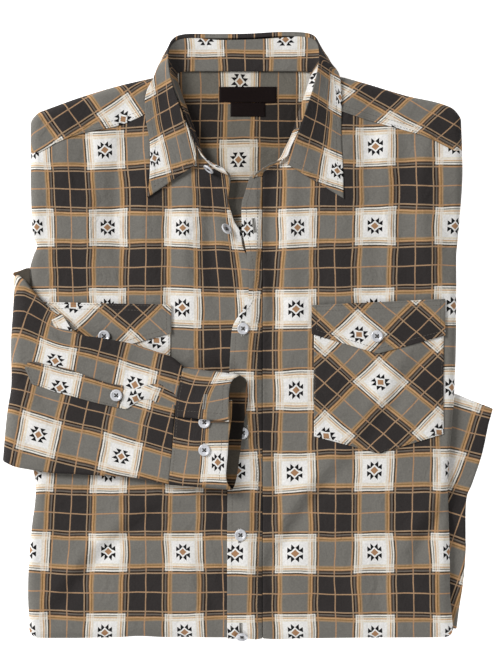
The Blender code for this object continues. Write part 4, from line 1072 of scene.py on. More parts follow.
@dataclass
class BodyPanel:
    """A panel of the body that turns down round its folds.

    Attributes:
        name: The piece's name.
        body: The form under it.
        side: 1 on the wearer's left, -1 on the wearer's right.
        inner: Table of its inner edge by y.
        seam: Table of its yoke seam by share across.
        yoke: Whether it is the yoke, which runs from the seam over the shoulder fold.
        check: Where its check falls.
    """

    name: str
    body: Body
    side: int
    inner: Array
    seam: Array
    yoke: bool
    check: Lattice
    gap: float = 0.3
    columns: int = 78
    row_count: int = 190

    def shell(self) -> Shell:
        """Return the panel's shell."""
        across = Run.make(self.columns, False, True, 0.004)
        along = Run.make(26 if self.yoke else self.row_count, not self.yoke, self.yoke, 0.02 if self.yoke else 0.0015)
        shape = (len(along.share), len(across.share))
        share = np.broadcast_to(across.share, shape)
        x = np.broadcast_to(np.linspace(self.side * 60.0, self.side * 190.0, shape[1]), shape).copy()
        y = np.zeros(shape)
        column = along.column()
        for _ in range(7):
            if self.yoke:
                low, high = read(self.seam, share) - 0.6, self.body.end(x, 1)
            else:
                low, high = self.body.end(x, -1), read(self.seam, share) - self.gap
            y = column.spread(low, high, FOLD_R)
            start, stop = read(self.inner, y), self.body.side(y, self.side)
            x = across.spread(start, stop, FOLD_R)
        flat_x = across.spread(start, stop, FOLD_R, FOLD_GIRTH)
        flat_y = column.spread(low, high, FOLD_R, FOLD_GIRTH)
        turn_x = np.broadcast_to(across.last, shape)
        turn_y = np.broadcast_to((along.first + along.last)[:, None], shape)
        reach = (y - low) if self.yoke else (high - y)
        lift = (0.75 if self.yoke else -0.35) * np.exp(-(reach / 5.0) ** 2) * np.cos(turn_x)
        grid = self.body.folded(x, y, turn_x, turn_y)
        grid[..., 2] += lift
        points, quads = grid.reshape(-1, 3), grid_quads(*shape)
        flat = np.stack([flat_x, flat_y], -1).reshape(-1, 2)
        last_row, last_col = shape[0] - 1, shape[1] - 1
        if self.yoke:
            loop = [(row, last_col) for row in range(last_row)] + [(last_row, col) for col in range(last_col, -1, -1)]
        else:
            loop = [(0, col) for col in range(last_col)] + [(row, last_col) for row in range(shape[0])]
        chain = np.array([row * shape[1] + col for row, col in loop])
        way = unit(np.gradient(points[chain, :2], axis=0))
        out = np.stack([way[:, 1], -way[:, 0]], 1)
        middle = points[:, :2].mean(0)
        if np.mean(np.sum(out * (points[chain, :2] - middle), 1)) < 0:
            out = -out
        base, ids = points[chain], chain
        for degrees in (100, 110, 122, 136, 150):
            turn = math.radians(degrees)
            inset = FOLD_R * (1 - math.sin(turn))
            ring = np.column_stack([
                base[:, :2] - out * inset, np.full(len(chain), FOLD_Z + UNDER_DEPTH * math.cos(turn)),
            ])
            fresh = np.arange(len(points), len(points) + len(chain))
            points = np.concatenate([points, ring])
            flat = np.concatenate([flat, flat[chain] + out * UNDER_GIRTH * (turn - math.pi / 2)])
            quads = np.concatenate([quads, np.stack([ids[:-1], ids[1:], fresh[1:], fresh[:-1]], 1)])
            ids = fresh
        shell = Shell(self.name, points, quads, self.check.chart(flat[:, 0], flat[:, 1]), up=False)
        self.turn_right_way(shell, len(grid_quads(*shape)))
        return shell

    @staticmethod
    def turn_right_way(shell: Shell, main: int) -> None:
        """Make every quad turn the same way, with the main ones facing up.

        Args:
            shell: The panel.
            main: How many quads its upper side has.
        """
        normal = shell.face_normals(shell.points)
        if normal[:main, 2].sum() < 0:
            shell.quads[:main] = shell.quads[:main, ::-1]
        middle = shell.points[:, :2].mean(0)
        centre = shell.points[shell.quads[main:]].mean(1)
        outward = np.column_stack([unit(centre[:, :2] - middle), np.full(len(centre), -0.4)])
        normal = shell.face_normals(shell.points)[main:]
        wrong = np.sum(normal * outward, 1) < 0
        if wrong.mean() > 0.5:
            shell.quads[main:] = shell.quads[main:, ::-1]


NECK_RIGHT = rows(
    (-290, -22), (84, -22), (108, -22), (140, -26), (152, -34), (163, -45), (177, -54), (195, -61), (218, -70),
    (236, -78), (251, -81),
)
NECK_LEFT = rows(
    (-290, 8), (84, 2), (108, 2), (140, 4), (152, 14), (163, 30), (177, 42), (195, 51), (218, 60), (236, 68),
    (251, 72),
)
NECK_DEPTH = rows((84, 0), (108, 7.5), (140, 8.4), (152, 8.6), (251, 8.6))

FALL = rows(
    # roll x, y, z, edge x, y, z, lead
    (-52, 161, 20, -96.4, 130.8, 17.6, 0),
    (-50.5, 174, 21.5, -94, 151, 17.6, 0),
    (-57.3, 195.4, 23.5, -93.8, 182, 17.6, 0),
    (-66.2, 218.3, 25, -98.2, 209, 17.6, 0),
    (-73.1, 238.6, 25.5, -97.6, 229, 17.6, 0),
    (-76.6, 255, 24.5, -90.6, 245, 17.4, 0),
    (-77, 268, 21, -84.6, 260, 13.5, 0.6),
    (-73, 281, 15.5, -77, 269, 7, 3),
    (-61, 287.3, 10, -60, 257, 1.9, 4.2),
    (-30, 287.6, 8.8, -30, 254, 1.5, 4.2),
    (0, 288, 8.6, 0, 253.5, 1.5, 4.2),
    (30, 289.6, 8.8, 28, 254, 1.5, 4.2),
    (56, 288.4, 10, 54, 257, 1.9, 4.2),
    (65.5, 281.5, 15.5, 71, 268.5, 7, 3),
    (68, 268, 21, 79.4, 258.4, 13.5, 0.6),
    (66.6, 254, 24.5, 86.4, 247.6, 17.4, 0),
    (62, 234, 25.5, 88.6, 226, 17.6, 0),
    (54.4, 211, 25, 88.2, 206, 17.6, 0),
    (48.4, 193, 23.5, 88.6, 183, 17.6, 0),
    (41.5, 178, 21.5, 89.8, 160, 17.6, 0),
    (37.6, 162, 20, 90.4, 130.2, 17.6, 0),
)
STAND = rows(
    # seam x, y, z, top x, y, z, v on the way round, u at the top, what u gains down to the seam
    (-18.8, 151.5, 17, -23, 158.5, 18, -0.14, 0, 0.3),
    (-33, 159.5, 17, -39, 167, 18.6, 0.08, 0, 0.3),
    (-43, 173, 17, -47.6, 177, 19.2, 0.24, 0.2, 0.3),
    (-50, 193, 17, -54.6, 196, 21, 0.48, 0.4, 0.3),
    (-58, 216, 15.6, -63.4, 219, 22.4, 0.80, 0.45, 0.3),
    (-64.5, 235, 12.8, -71.8, 238.6, 23.4, 1.06, 0.45, 0.3),
    (-66.8, 245, 10.4, -76, 256, 23, 1.28, 0.45, 0.3),
    (-66, 250, 9, -75.4, 272, 19, 1.60, 0.3, 0.3),
    (-57, 251.2, 8.8, -62.5, 283, 12.6, 1.78, 0, 0.3),
    (-27, 251.4, 8.8, -29, 281.2, 11.2, 2.15, 0, 0.3),
    (0, 251.4, 8.8, 0, 281.6, 11, 2.54, 0, 0.3),
    (26, 251.4, 8.8, 28, 283, 11.2, 2.90, 0, 0.3),
    (50, 251.2, 8.8, 57, 284, 12.6, 3.24, 0, 0.3),
    (58, 250, 9, 67.2, 272, 19, 3.80, 0, 0.2),
    (57.6, 244, 10.4, 66.4, 255, 23, 3.90, -0.02, 0.1),
    (54, 232, 12.8, 60.8, 234.4, 23.4, 4.08, 0.02, 0.1),
    (46.5, 210, 15.6, 53.4, 211.6, 23.6, 4.42, 0.10, 0.12),
    (40.9, 192, 17, 47.2, 194.2, 22.2, 4.76, 0.10, 0.12),
    (34.4, 178.5, 17, 40.6, 180, 20.3, 4.97, 0.1, 0.12),
    (27.5, 166.5, 17, 35.6, 169.4, 19.2, 5.17, 0.1, 0.12),
    (13.5, 157.6, 17, 20, 163.2, 18.2, 5.40, 0.1, 0.1),
    (3.6, 149.8, 17.2, 7, 154.6, 18, 5.60, 0.1, 0.1),
)


@dataclass
class Collar:
    """The collar's fall with its two points, and the stand that it is sewn to."""

    finishes: Finishes
    count: int = 300

    def fall(self) -> Shell:
        """Return the shell of the fall, from the roll out to its free edge."""
        table = along_rows(FALL, self.count)
        roll, edge, lead = table[:, 0:3], table[:, 3:6], np.maximum(table[:, 6], 0.0)
        shares = np.concatenate([[0.0, 0.01, 0.03, 0.06], np.linspace(0.1, 0.98, 26), [1.0]])
        start = roll.copy()
        start[:, 1] -= lead
        start[:, 2] += 0.6 * lead + 0.4
        line = [start]
        base = roll + (edge - roll) * 0.015
        for share in shares:
            point = base * (1 - share) + edge * share
            point[:, 2] = edge[:, 2] + (base[:, 2] - edge[:, 2]) * (1 - share) ** 1.6
            line.append(point)
        grid = np.stack(line, 1)
        all_shares = np.concatenate([[-0.03], shares])
        x, y = grid[..., 0], grid[..., 1]
        leaf = np.where(x[..., None] < 0, LEAF_RIGHT_CHECK.chart(x, y), LEAF_LEFT_CHECK.chart(x, y))
        behind = np.stack([
            (0.43 - 0.5 * np.maximum(all_shares, 0.0)) * REPEAT_U + 0.0 * x, (2.0 + (x + 30.9) / REPEAT_U) * REPEAT_V,
        ], -1)
        share = eased((np.maximum(y, table[:, 1:2]) - 256.0) / 22.0)[..., None]
        chart = leaf * (1 - share) + behind * share
        waves = creases(
            (-60, 190, -92, 175, 9, 0.6), (-70, 225, -95, 215, 9, -0.5), (62, 190, 77, 150, 12, -1.6),
            (93, 225, 93, 150, 9, -1), (-56, 165, -70, 215, 12, 1.5),
        )
        grid[..., 2] += relief(waves, x, y) * np.clip(all_shares * 4, 0, 1)
        return grid_shell("collar_fall_cloth", grid, chart, wall=WALL)

    def stand(self) -> Shell:
        """Return the shell of the stand, from its neck seam up to the roll."""
        table = along_rows(STAND, self.count)
        shares = np.concatenate([[0.0, 0.03], np.linspace(0.08, 0.96, 14), [1.0]])
        seam, top = table[:, None, 0:3], table[:, None, 3:6]
        grid = seam * (1 - shares)[None, :, None] + top * shares[None, :, None]
        across, row_y = grid[..., 0], grid[..., 1]
        way = np.stack([table[:, 7:8] + table[:, 8:9] * (1 - shares), table[:, 6:7] + 0.0 * row_y], -1)
        flat = np.stack([(282.15 - row_y) / 64.5, 2.0 + (across + 40.4) / 75.6], -1)
        back = eased((np.maximum(row_y, table[:, 4:5]) - 254.0) / 13.0)[..., None]
        repeats = np.array([REPEAT_U, REPEAT_V])
        inner = INNER_BACK_CHECK.chart(across, row_y) / repeats + np.array([0.0, 2.0])
        matched = (table[:, 6:7] > 2.9) & (table[:, 6:7] < 4.7)
        way = np.where(matched[..., None], inner, way)
        chart = (way * (1 - back) + flat * back) * repeats
        return grid_shell("collar_stand_cloth", grid, chart, wall=WALL)

    def build(self) -> None:
        """Make and declare both pieces."""
        fall, stand = (shell.build(self.finishes.cotton) for shell in (self.fall(), self.stand()))
        declare(fall, ("collar_fall",))
        declare(stand, ("collar_stand",))


def declare(
    item: Object, nodes: Sequence[str],
) -> None:
    """Say what a piece is: its body and the nodes that it stands for.

    Args:
        item: The piece.
        nodes: The CAD nodes that it replaces.
    """
    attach(item, "root")
    if nodes:
        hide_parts(*nodes)
    LOG.info("%s: %d faces", item.name, len(item.data.polygons))


@dataclass
class Piece:
    """A piece of the shirt that lies on the folded body."""

    body: Body
    finishes: Finishes


@dataclass
class Fronts(Piece):
    """Both fronts, both front yokes and the front placket."""

    def build(self) -> None:
        cotton, inside = self.finishes.cotton, self.finishes.inside
        panels = (
            ("front_right", -1, FRONT_EDGE_RIGHT, YOKE_SEAM_RIGHT, False, FRONT_RIGHT_CHECK, (0.235, 0.52), 0.106),
            ("front_left", 1, FRONT_EDGE_LEFT, YOKE_SEAM_LEFT, False, FRONT_LEFT_CHECK, (0.20, 0.52), 0.095),
            ("yoke_right", -1, FRONT_EDGE_RIGHT, YOKE_SEAM_RIGHT, True, YOKE_RIGHT_CHECK, (0.15, 0.08), 0.0062),
            ("yoke_left", 1, FRONT_EDGE_LEFT, YOKE_SEAM_LEFT, True, YOKE_LEFT_CHECK, (0.15, 0.08), 0.0062),
        )
        for name, side, inner, seam, yoke, check, flat, area in panels:
            panel = BodyPanel(name + "_cloth", self.body, side, inner, seam, yoke, check)
            item = panel.shell().build(cotton, inside)
            declare(item, (name,))
        item = self.placket().build(cotton, inside)
        declare(item, ("front_placket",))

    def placket(self) -> Shell:
        """Return the shell of the front placket, a strip over the wearer's right front."""
        along = Run.make(170, True, False, 0.0015)
        shares = edged(0.0, 1.0, 0.06, 0.02)
        column = along.column()
        shape = (len(along.share), len(shares))
        x = np.zeros(shape)
        y = np.zeros(shape)
        lift = np.full(shape, PLY)
        for _ in range(6):
            low = self.body.end(x, -1) - lift
            y = column.spread(low, np.full(shape, PLACKET_TOP), FOLD_R + PLY)
            edge = read(PLACKET_EDGE, y)
            x = edge * (1 - shares) + PLACKET_SEAM_X * shares
            lift = PLY * np.clip((PLACKET_SEAM_X - x) / 6.2, 0.0, 1.0)
        flat_y = column.spread(low, np.full(shape, PLACKET_TOP), FOLD_R + PLY, FOLD_GIRTH + PLY)
        turn = np.broadcast_to(along.first[:, None], shape)
        z = FOLD_Z + (self.body.height(x, y) + lift - FOLD_Z) * np.cos(turn)
        grid = np.stack([x, y, z], -1)
        under, under_y = [], []
        for degrees in (135, 122, 110, 100):
            angle = math.radians(degrees)
            ring = grid[0].copy()
            ring[:, 1] = grid[0, :, 1] + (FOLD_R + PLY) * (1 - math.sin(angle))
            ring[:, 2] = FOLD_Z + (UNDER_DEPTH + 0.3) * math.cos(angle)
            under.append(ring)
            under_y.append(flat_y[0] - UNDER_GIRTH * (angle - math.pi / 2))
        grid = np.concatenate([under, grid])
        flat_y = np.concatenate([under_y, flat_y])
        chart = PLACKET_CHECK.chart(grid[..., 0], flat_y)
        return grid_shell("front_placket_cloth", grid, chart, wall=1.1)


@dataclass
class FoldedStack(Piece):
    """The folded back, sides and lower half under the fronts, as one rounded stack with layered edges."""

    slot_depth: float = 11.0

    def slot_share(self, x: Array, y: Array) -> Array:
        """Return how far the lower layers stand back where a sleeve comes out from under the body."""
        left = np.interp(y, (-292, -291, -50, -42), (0.9, 1.0, 1.0, 0.0))
        right = np.interp(y, (-134, -126, 62, 70), (0.0, 1.0, 1.0, 0.0))
        return np.where(x > 0, left, right)

    def build(self) -> None:
        inset = STACK_INSET
        radius = FOLD_R - inset
        cols, lines = (Run.make(count, True, True, degrees=range(10, 91, 10)) for count in (90, 130))
        shape = (len(lines.share), len(cols.share))
        x = np.broadcast_to(np.linspace(-200, 190, shape[1]), shape).copy()
        y = np.zeros(shape)
        for _ in range(6):
            y = lines.column().spread(self.body.end(x, -1) + inset, self.body.end(x, 1) - inset, radius)
            x = cols.spread(self.body.side(y, -1) + inset, self.body.side(y, 1) - inset, radius)
        right, left = read(NECK_RIGHT, y), read(NECK_LEFT, y)
        slope = np.clip(np.minimum(x - right, left - x) / 4.0 + 1.0, 0.0, 1.0)
        depth = np.where(y > NECK_DEPTH[0, 0], read(NECK_DEPTH, y), 0.0) * slope
        turn_x = np.broadcast_to(cols.first + cols.last, shape)
        turn_y = np.broadcast_to((lines.first + lines.last)[:, None], shape)
        top = self.body.smooth(x, y) - 0.9 - inset - depth
        z = FOLD_Z + (top - FOLD_Z) * np.cos(turn_x) * np.cos(turn_y)
        z = np.minimum(z, self.body.height(x, y) - 1.4)
        z = np.where(depth > 0.5, np.minimum(z, top), z)
        far = 99.0
        near_side = np.where(turn_x > 0, radius * (1 - np.sin(turn_x)), far)
        near_end = np.where(turn_y > 0, radius * (1 - np.sin(turn_y)), far)
        points = np.stack([*rounded_corner(x, y, near_side, near_end, CORNER_R - inset), z], -1).reshape(-1, 3)
        quads = grid_quads(*shape)
        row_n, col_n = shape
        loop = [(0, c) for c in range(col_n)] + [(r, col_n - 1) for r in range(1, row_n)]
        loop += [(row_n - 1, c) for c in range(col_n - 2, -1, -1)] + [(r, 0) for r in range(row_n - 2, 0, -1)]
        chain = np.array([r * col_n + c for r, c in loop])
        base = points[chain]
        way = unit(np.roll(base[:, :2], -1, 0) - np.roll(base[:, :2], 1, 0))
        out = np.stack([way[:, 1], -way[:, 0]], 1)
        tuck = self.slot_depth * np.where(np.abs(out[:, 0]) > 0.7, self.slot_share(base[:, 0], base[:, 1]), 0.0)
        length = lengths(base[:, :2])
        wave = 0.5 * np.sin(length / 31.0) + 0.35 * np.sin(length / 13.0 + 1.0)
        # Layered edge, from the fold down: how far in, height, and whether it stands back for a sleeve.
        edge = (
            (2.3, 6.3, 0), (2.8, 5.3, 1), (2.2, 4.9, 1), (1.2, 4.6, 1), (0.8, 4.1, 1), (0.8, 3.7, 1), (1.3, 3.1, 1),
            (2.6, 2.75, 1), (2.8, 2.6, 1), (2.2, 2.5, 1), (1.1, 2.2, 1), (0.7, 1.7, 1), (0.6, 1.1, 1), (0.9, 0.5, 1),
            (1.8, 0.05, 1), (4.0, 0.0, 1),
        )
        uv = [np.stack([x, y], -1).reshape(-1, 2)]
        ids, girth = chain, 0.0
        for number, (depth_in, height, tucked) in enumerate(edge):
            shift = depth_in + tuck * tucked + wave * tucked * (1.0 if number < 8 else -0.7) - inset
            level = np.minimum(height, base[:, 2] * (1.0 - (number + 1) / (len(edge) + 1)))
            ring = np.column_stack([base[:, :2] - out * shift[:, None], level])
            girth += 2.0
            fresh = np.arange(len(points), len(points) + len(chain))
            points = np.concatenate([points, ring])
            uv.append(uv[0][chain] + out * (girth + (24.0 if height < 4.9 else 0.0) + (31.0 if height < 2.7 else 0.0)))
            quads = np.concatenate([quads, np.stack([np.roll(ids, -1), ids, fresh, np.roll(fresh, -1)], 1)])
            ids = fresh
        chart = FRONT_RIGHT_CHECK.chart(*np.concatenate(uv).T)
        faces = quads.tolist() + [ids.tolist()]
        # The stack's layers use the dimmer wrong-side cloth, whose lower brightness is painted shade.
        item = mesh_object("folded_stack", points, faces, chart, [self.finishes.inside])
        mesh_outward(item)
        declare(item, ("hidden_layers",))


def mesh_outward(item: Object) -> None:
    """Turn a closed mesh's faces outward."""
    mesh = bmesh.new()
    mesh.from_mesh(item.data)
    bmesh.ops.recalc_face_normals(mesh, faces=mesh.faces[:])
    mesh.to_mesh(item.data)
    mesh.free()


@dataclass
class NeckInside(Piece):
    """The inside of the back seen down the neck, with its two bare labels."""

    def floor(self, x: Array, y: Array) -> Array:
        """Return the height of the inside of the back."""
        return self.body.smooth(x, y) - STACK_INSET - read(NECK_DEPTH, y) + PLY + 0.6

    def build(self) -> None:
        y = np.linspace(104.0, 252.6, 90)
        right, left = read(NECK_RIGHT, y) + 0.5, read(NECK_LEFT, y) - 0.5
        narrow = np.clip((y - 238.0) / 10.0, 0.0, 1.0) * 8.0
        shares = np.linspace(0.0, 1.0, 60)
        x = (right + narrow)[:, None] * (1 - shares) + (left - narrow)[:, None] * shares
        grid_y = np.broadcast_to(y[:, None], x.shape)
        z = self.floor(x, grid_y) + relief(creases(
            (-30, 160, -20, 240, 9, 0.5), (12, 150, 30, 235, 10, -0.5), (-55, 200, -40, 245, 8, -0.4),
            (-6, 120, -4, 150, 6, -0.4),
        ), x, grid_y)
        grid = np.stack([x, grid_y, z], -1)
        chart = INNER_BACK_CHECK.chart(x, grid_y)
        # The inside of the back uses the dimmer wrong-side cloth, whose lower brightness is painted shade.
        item = grid_shell("inner_back_cloth", grid, chart).build(self.finishes.inside)
        declare(item, ("back_yoke_inside",))
        for name, low_x, high_x, low_y, high_y in (
            ("neck_label", -28.0, 26.7, 222.0, 236.8), ("size_label", -17.2, 15.9, 208.4, 221.7),
        ):
            lx, ly = np.meshgrid(edged(low_x, high_x, 2.0, 0.5), edged(low_y, high_y, 1.6, 0.5))
            lz = self.floor(lx, ly) + 0.9 + 0.25 * np.sin((lx - low_x) / 9.0) * np.sin((ly - low_y) / 5.0)
            grid, flat = np.stack([lx, ly, lz], -1), ((high_x - low_x) * MM, (high_y - low_y) * MM)
            item = grid_shell(name + "_tape", grid, grid[..., :2], wall=0.6, soften=0.3).build(self.finishes.satin)
            declare(item, (name,))


class PatchShape(NamedTuple):
    """A pocket or flap: its sides, the level of its top edge, its foot and the point of its foot."""

    name: str
    inner: float
    outer: float
    top_inner: float
    top_outer: float
    foot_inner: float
    foot_outer: float
    tip_x: float
    tip: float
    layer: int


@dataclass
class Patches(Piece):
    """Both chest pockets and their pointed flaps."""

    shapes: tuple[tuple[PatchShape, Lattice], ...] = (
        (PatchShape("pocket_left", 62.2, 185.4, 7.0, 7.0, -95.8, -93.6, 124.0, -112.1, 1), POCKET_LEFT_CHECK),
        (PatchShape("pocket_flap_left", 59.9, 187.0, 28.8, 34.9, 1.5, 0.0, 122.6, -17.4, 2), FLAP_LEFT_CHECK),
        (PatchShape("pocket_right", -74.2, -198.4, 7.0, 7.0, -95.0, -95.0, -136.4, -112.0, 1), POCKET_RIGHT_CHECK),
        (PatchShape("pocket_flap_right", -73.2, -200.0, 29.3, 32.0, 2.2, 2.4, -137.0, -15.7, 2), FLAP_RIGHT_CHECK),
    )

    def surface(self, shape: PatchShape, across: Array, share: Array) -> Array:
        """Return points of a patch's upper face at shares across it and up it.

        Args:
            shape: The patch.
            across: Share across it from its inner side.
            share: Share up it from its foot.

        Returns:
            The points.
        """
        x = shape.inner * (1 - across) + shape.outer * across
        top = shape.top_inner * (1 - across) + shape.top_outer * across
        spot = abs(shape.tip_x - shape.inner) / abs(shape.outer - shape.inner)
        foot = np.interp(across, (0.0, spot, 1.0), (shape.foot_inner, shape.tip, shape.foot_outer))
        y = foot * (1 - share) + top * share
        return np.stack([x, y, self.body.height(x, y) + PLY * shape.layer * 0.9], -1)

    def build(self) -> None:
        for shape, check in self.shapes:
            across, share = np.meshgrid(edged(0.0, 1.0, 0.02, 0.006), edged(0.0, 1.0, 0.025, 0.008))
            grid = self.surface(shape, across, share)
            shell = grid_shell(shape.name + "_cloth", grid, check.chart(grid[..., 0], grid[..., 1]))
            area = float(np.abs(shell.face_normals(shell.points)[:, 2]).sum() / 2)
            item = shell.build(self.finishes.cotton)
            declare(
                item, (shape.name,),
            )


SLEEVE_UPPER = rows(
    (-223.4, 58.4), (-216.4, 56), (-203, 41), (-186.9, 25.2), (-177.7, 20.5), (-168.3, 8.7),
    (-163, 3), (-138.4, -2.4), (-109.1, -8.1), (-86.9, -15.3), (-73, -20), (-62, -29.4),
)
SLEEVE_LOWER = rows(
    (-234.1, -120.6), (-224.3, -124), (-205.7, -127.6), (-186.1, -130.6), (-163.4, -131.6),
    (-142.1, -133), (-116.4, -134.4), (-104.3, -136), (-75.5, -141.4),
)
SLEEVE_FOLD = rows(
    (-223.4, 58.4), (-223.8, 32.3), (-226.2, -7.1), (-225.8, -45.1), (-229.8, -73.6), (-234.1, -120.6),
)
SLEEVE_END = rows((-62, -29.4), (-69.5, -70), (-72, -105), (-75.5, -141.4))
SLEEVE_CREASES = creases(
    (-188, 8, -163, -9, 4, -2), (-184, -2, -160, -18, 6, 1.5), (-214, 34, -194, 12, 8, 1.2),
    (-226, -36, -206, -44, 4, -1.4), (-222, -44, -204, -52, 5, 1), (-228, -60, -214, -76, 5, -1.5),
    (-214, -78, -212, -96, 5, -1.2), (-206, -70, -190, -100, 8, 1), (-178, -90, -143, -118, 7, -1.7),
    (-166, -28, -126, -42, 8, -1.5), (-112, -14, -88, -30, 6, -1.4), (-199, -52, -184, -72, 6, -1.4),
    (-124, -76, -106, -96, 6, -1.4), (-150, -62, -120, -78, 8, 1), (-140, -96, -96, -112, 9, 0.9),
    (-120, -56, -84, -70, 6, -1),
)


class Strip(NamedTuple):
    """A strip of the sleeve's cloth between two edges.

    Attributes:
        name: The piece's name.
        nodes: The CAD nodes that it replaces.
        upper: Table of its upper edge by x.
        lower: Table of its lower edge by x.
        check: Where its check falls.
        flat: Width and length of the uncut cloth in metres; not used.
        area: Flat area of the cut; not used.
        rise: Height over the sleeve's upper side.
        swell: How far its middle stands up.
        wall: Thickness of the cloth.
        held: How the cloth is held; not used.
        step: Steps along it, close to its ends and across it as a share.
        tucked: Whether it lies in the gap between the sleeve's fold and the body instead; such a strip is drawn in the
            darker cloth of painted shade.
    """

    name: str
    nodes: tuple[str, ...]
    upper: Array
    lower: Array
    check: Lattice
    flat: tuple[float, float]
    area: float
    rise: float = 0.0
    swell: float = 0.0
    wall: float = 0.9
    held: str = "folded"
    step: tuple[float, float, float] = (1.2, 0.4, 0.07)
    tucked: bool = False


SLEEVE_STRIPS = (
    Strip(
        "sleeve_placket_cloth", ("sleeve_placket",),
        rows(
            (-212.3, -30.7), (-208.5, -25.4), (-201, -25), (-194, -27), (-169, -32.2), (-150, -39.4),
            (-130, -45.8), (-118.6, -47.4),
        ),
        rows(
            (-212.3, -30.9), (-208.5, -39), (-205.7, -45.6), (-197.5, -48.4), (-185, -53), (-169, -57.2),
            (-150, -62.6), (-130, -67.2), (-118.6, -69.8),
        ),
        SLEEVE_PLACKET_CHECK, (0.096, 0.025), 0.0021, 1.2, wall=1.0, held="laid", step=(1.6, 0.5, 0.08),
    ),
    Strip(
        "sleeve_edge_fold", (),
        rows(
            (-120.6, -66), (-118.5, -52), (-113.5, -50.2), (-107.8, -50.6), (-102.3, -50), (-96.7, -47.2),
            (-90.4, -46), (-84, -46), (-77, -50.5), (-70, -52.5), (-66, -56), (-62.4, -60),
        ),
        rows(
            (-120.6, -68.6), (-117.7, -70), (-109.2, -65.7), (-100.7, -61), (-94, -61), (-88, -63.4),
            (-84, -65.2), (-74, -69.6), (-66, -73.6), (-62.4, -75.4),
        ),
        POINTED_FOLD_CHECK, (0.06, 0.024), 0.00115, 1.0, 1.4,
    ),
    Strip(
        "sleeve_gusset", (), rows((-92.6, -62), (-84, -63.6), (-74, -68), (-63.6, -74.4)),
        rows((-92.6, -66.6), (-84, -69), (-74, -72.6), (-63.6, -75.6)),
        GUSSET_CHECK, (0.03, 0.012), 0.00015, 0.8, wall=0.7,
    ),
    Strip(
        "sleeve_turned_corner", (), rows((-187.2, 16.4), (-182, 19.4), (-177.4, 20.6), (-172, 12.6), (-167.6, 5.4)),
        rows((-187.2, 15.6), (-183.8, 7.8), (-177.4, 6.4), (-172, 5.4), (-167.6, 4.6)),
        TURNED_CORNER_CHECK, (0.02, 0.014), 0.00018, 0.9,
    ),
    Strip(
        "sleeve_tucked_edge", (), rows((-223.4, 60), (-219, 61.2), (-215.2, 62.6), (-210.8, 64.2), (-207.6, 64.4)),
        rows((-223.4, 58), (-219, 54.6), (-215.2, 51), (-210.8, 47.4), (-207.6, 44.6)),
        TUCKED_EDGE_CHECK, (0.02, 0.018), 0.0002, step=(0.9, 0.3, 0.08), tucked=True,
    ),
)


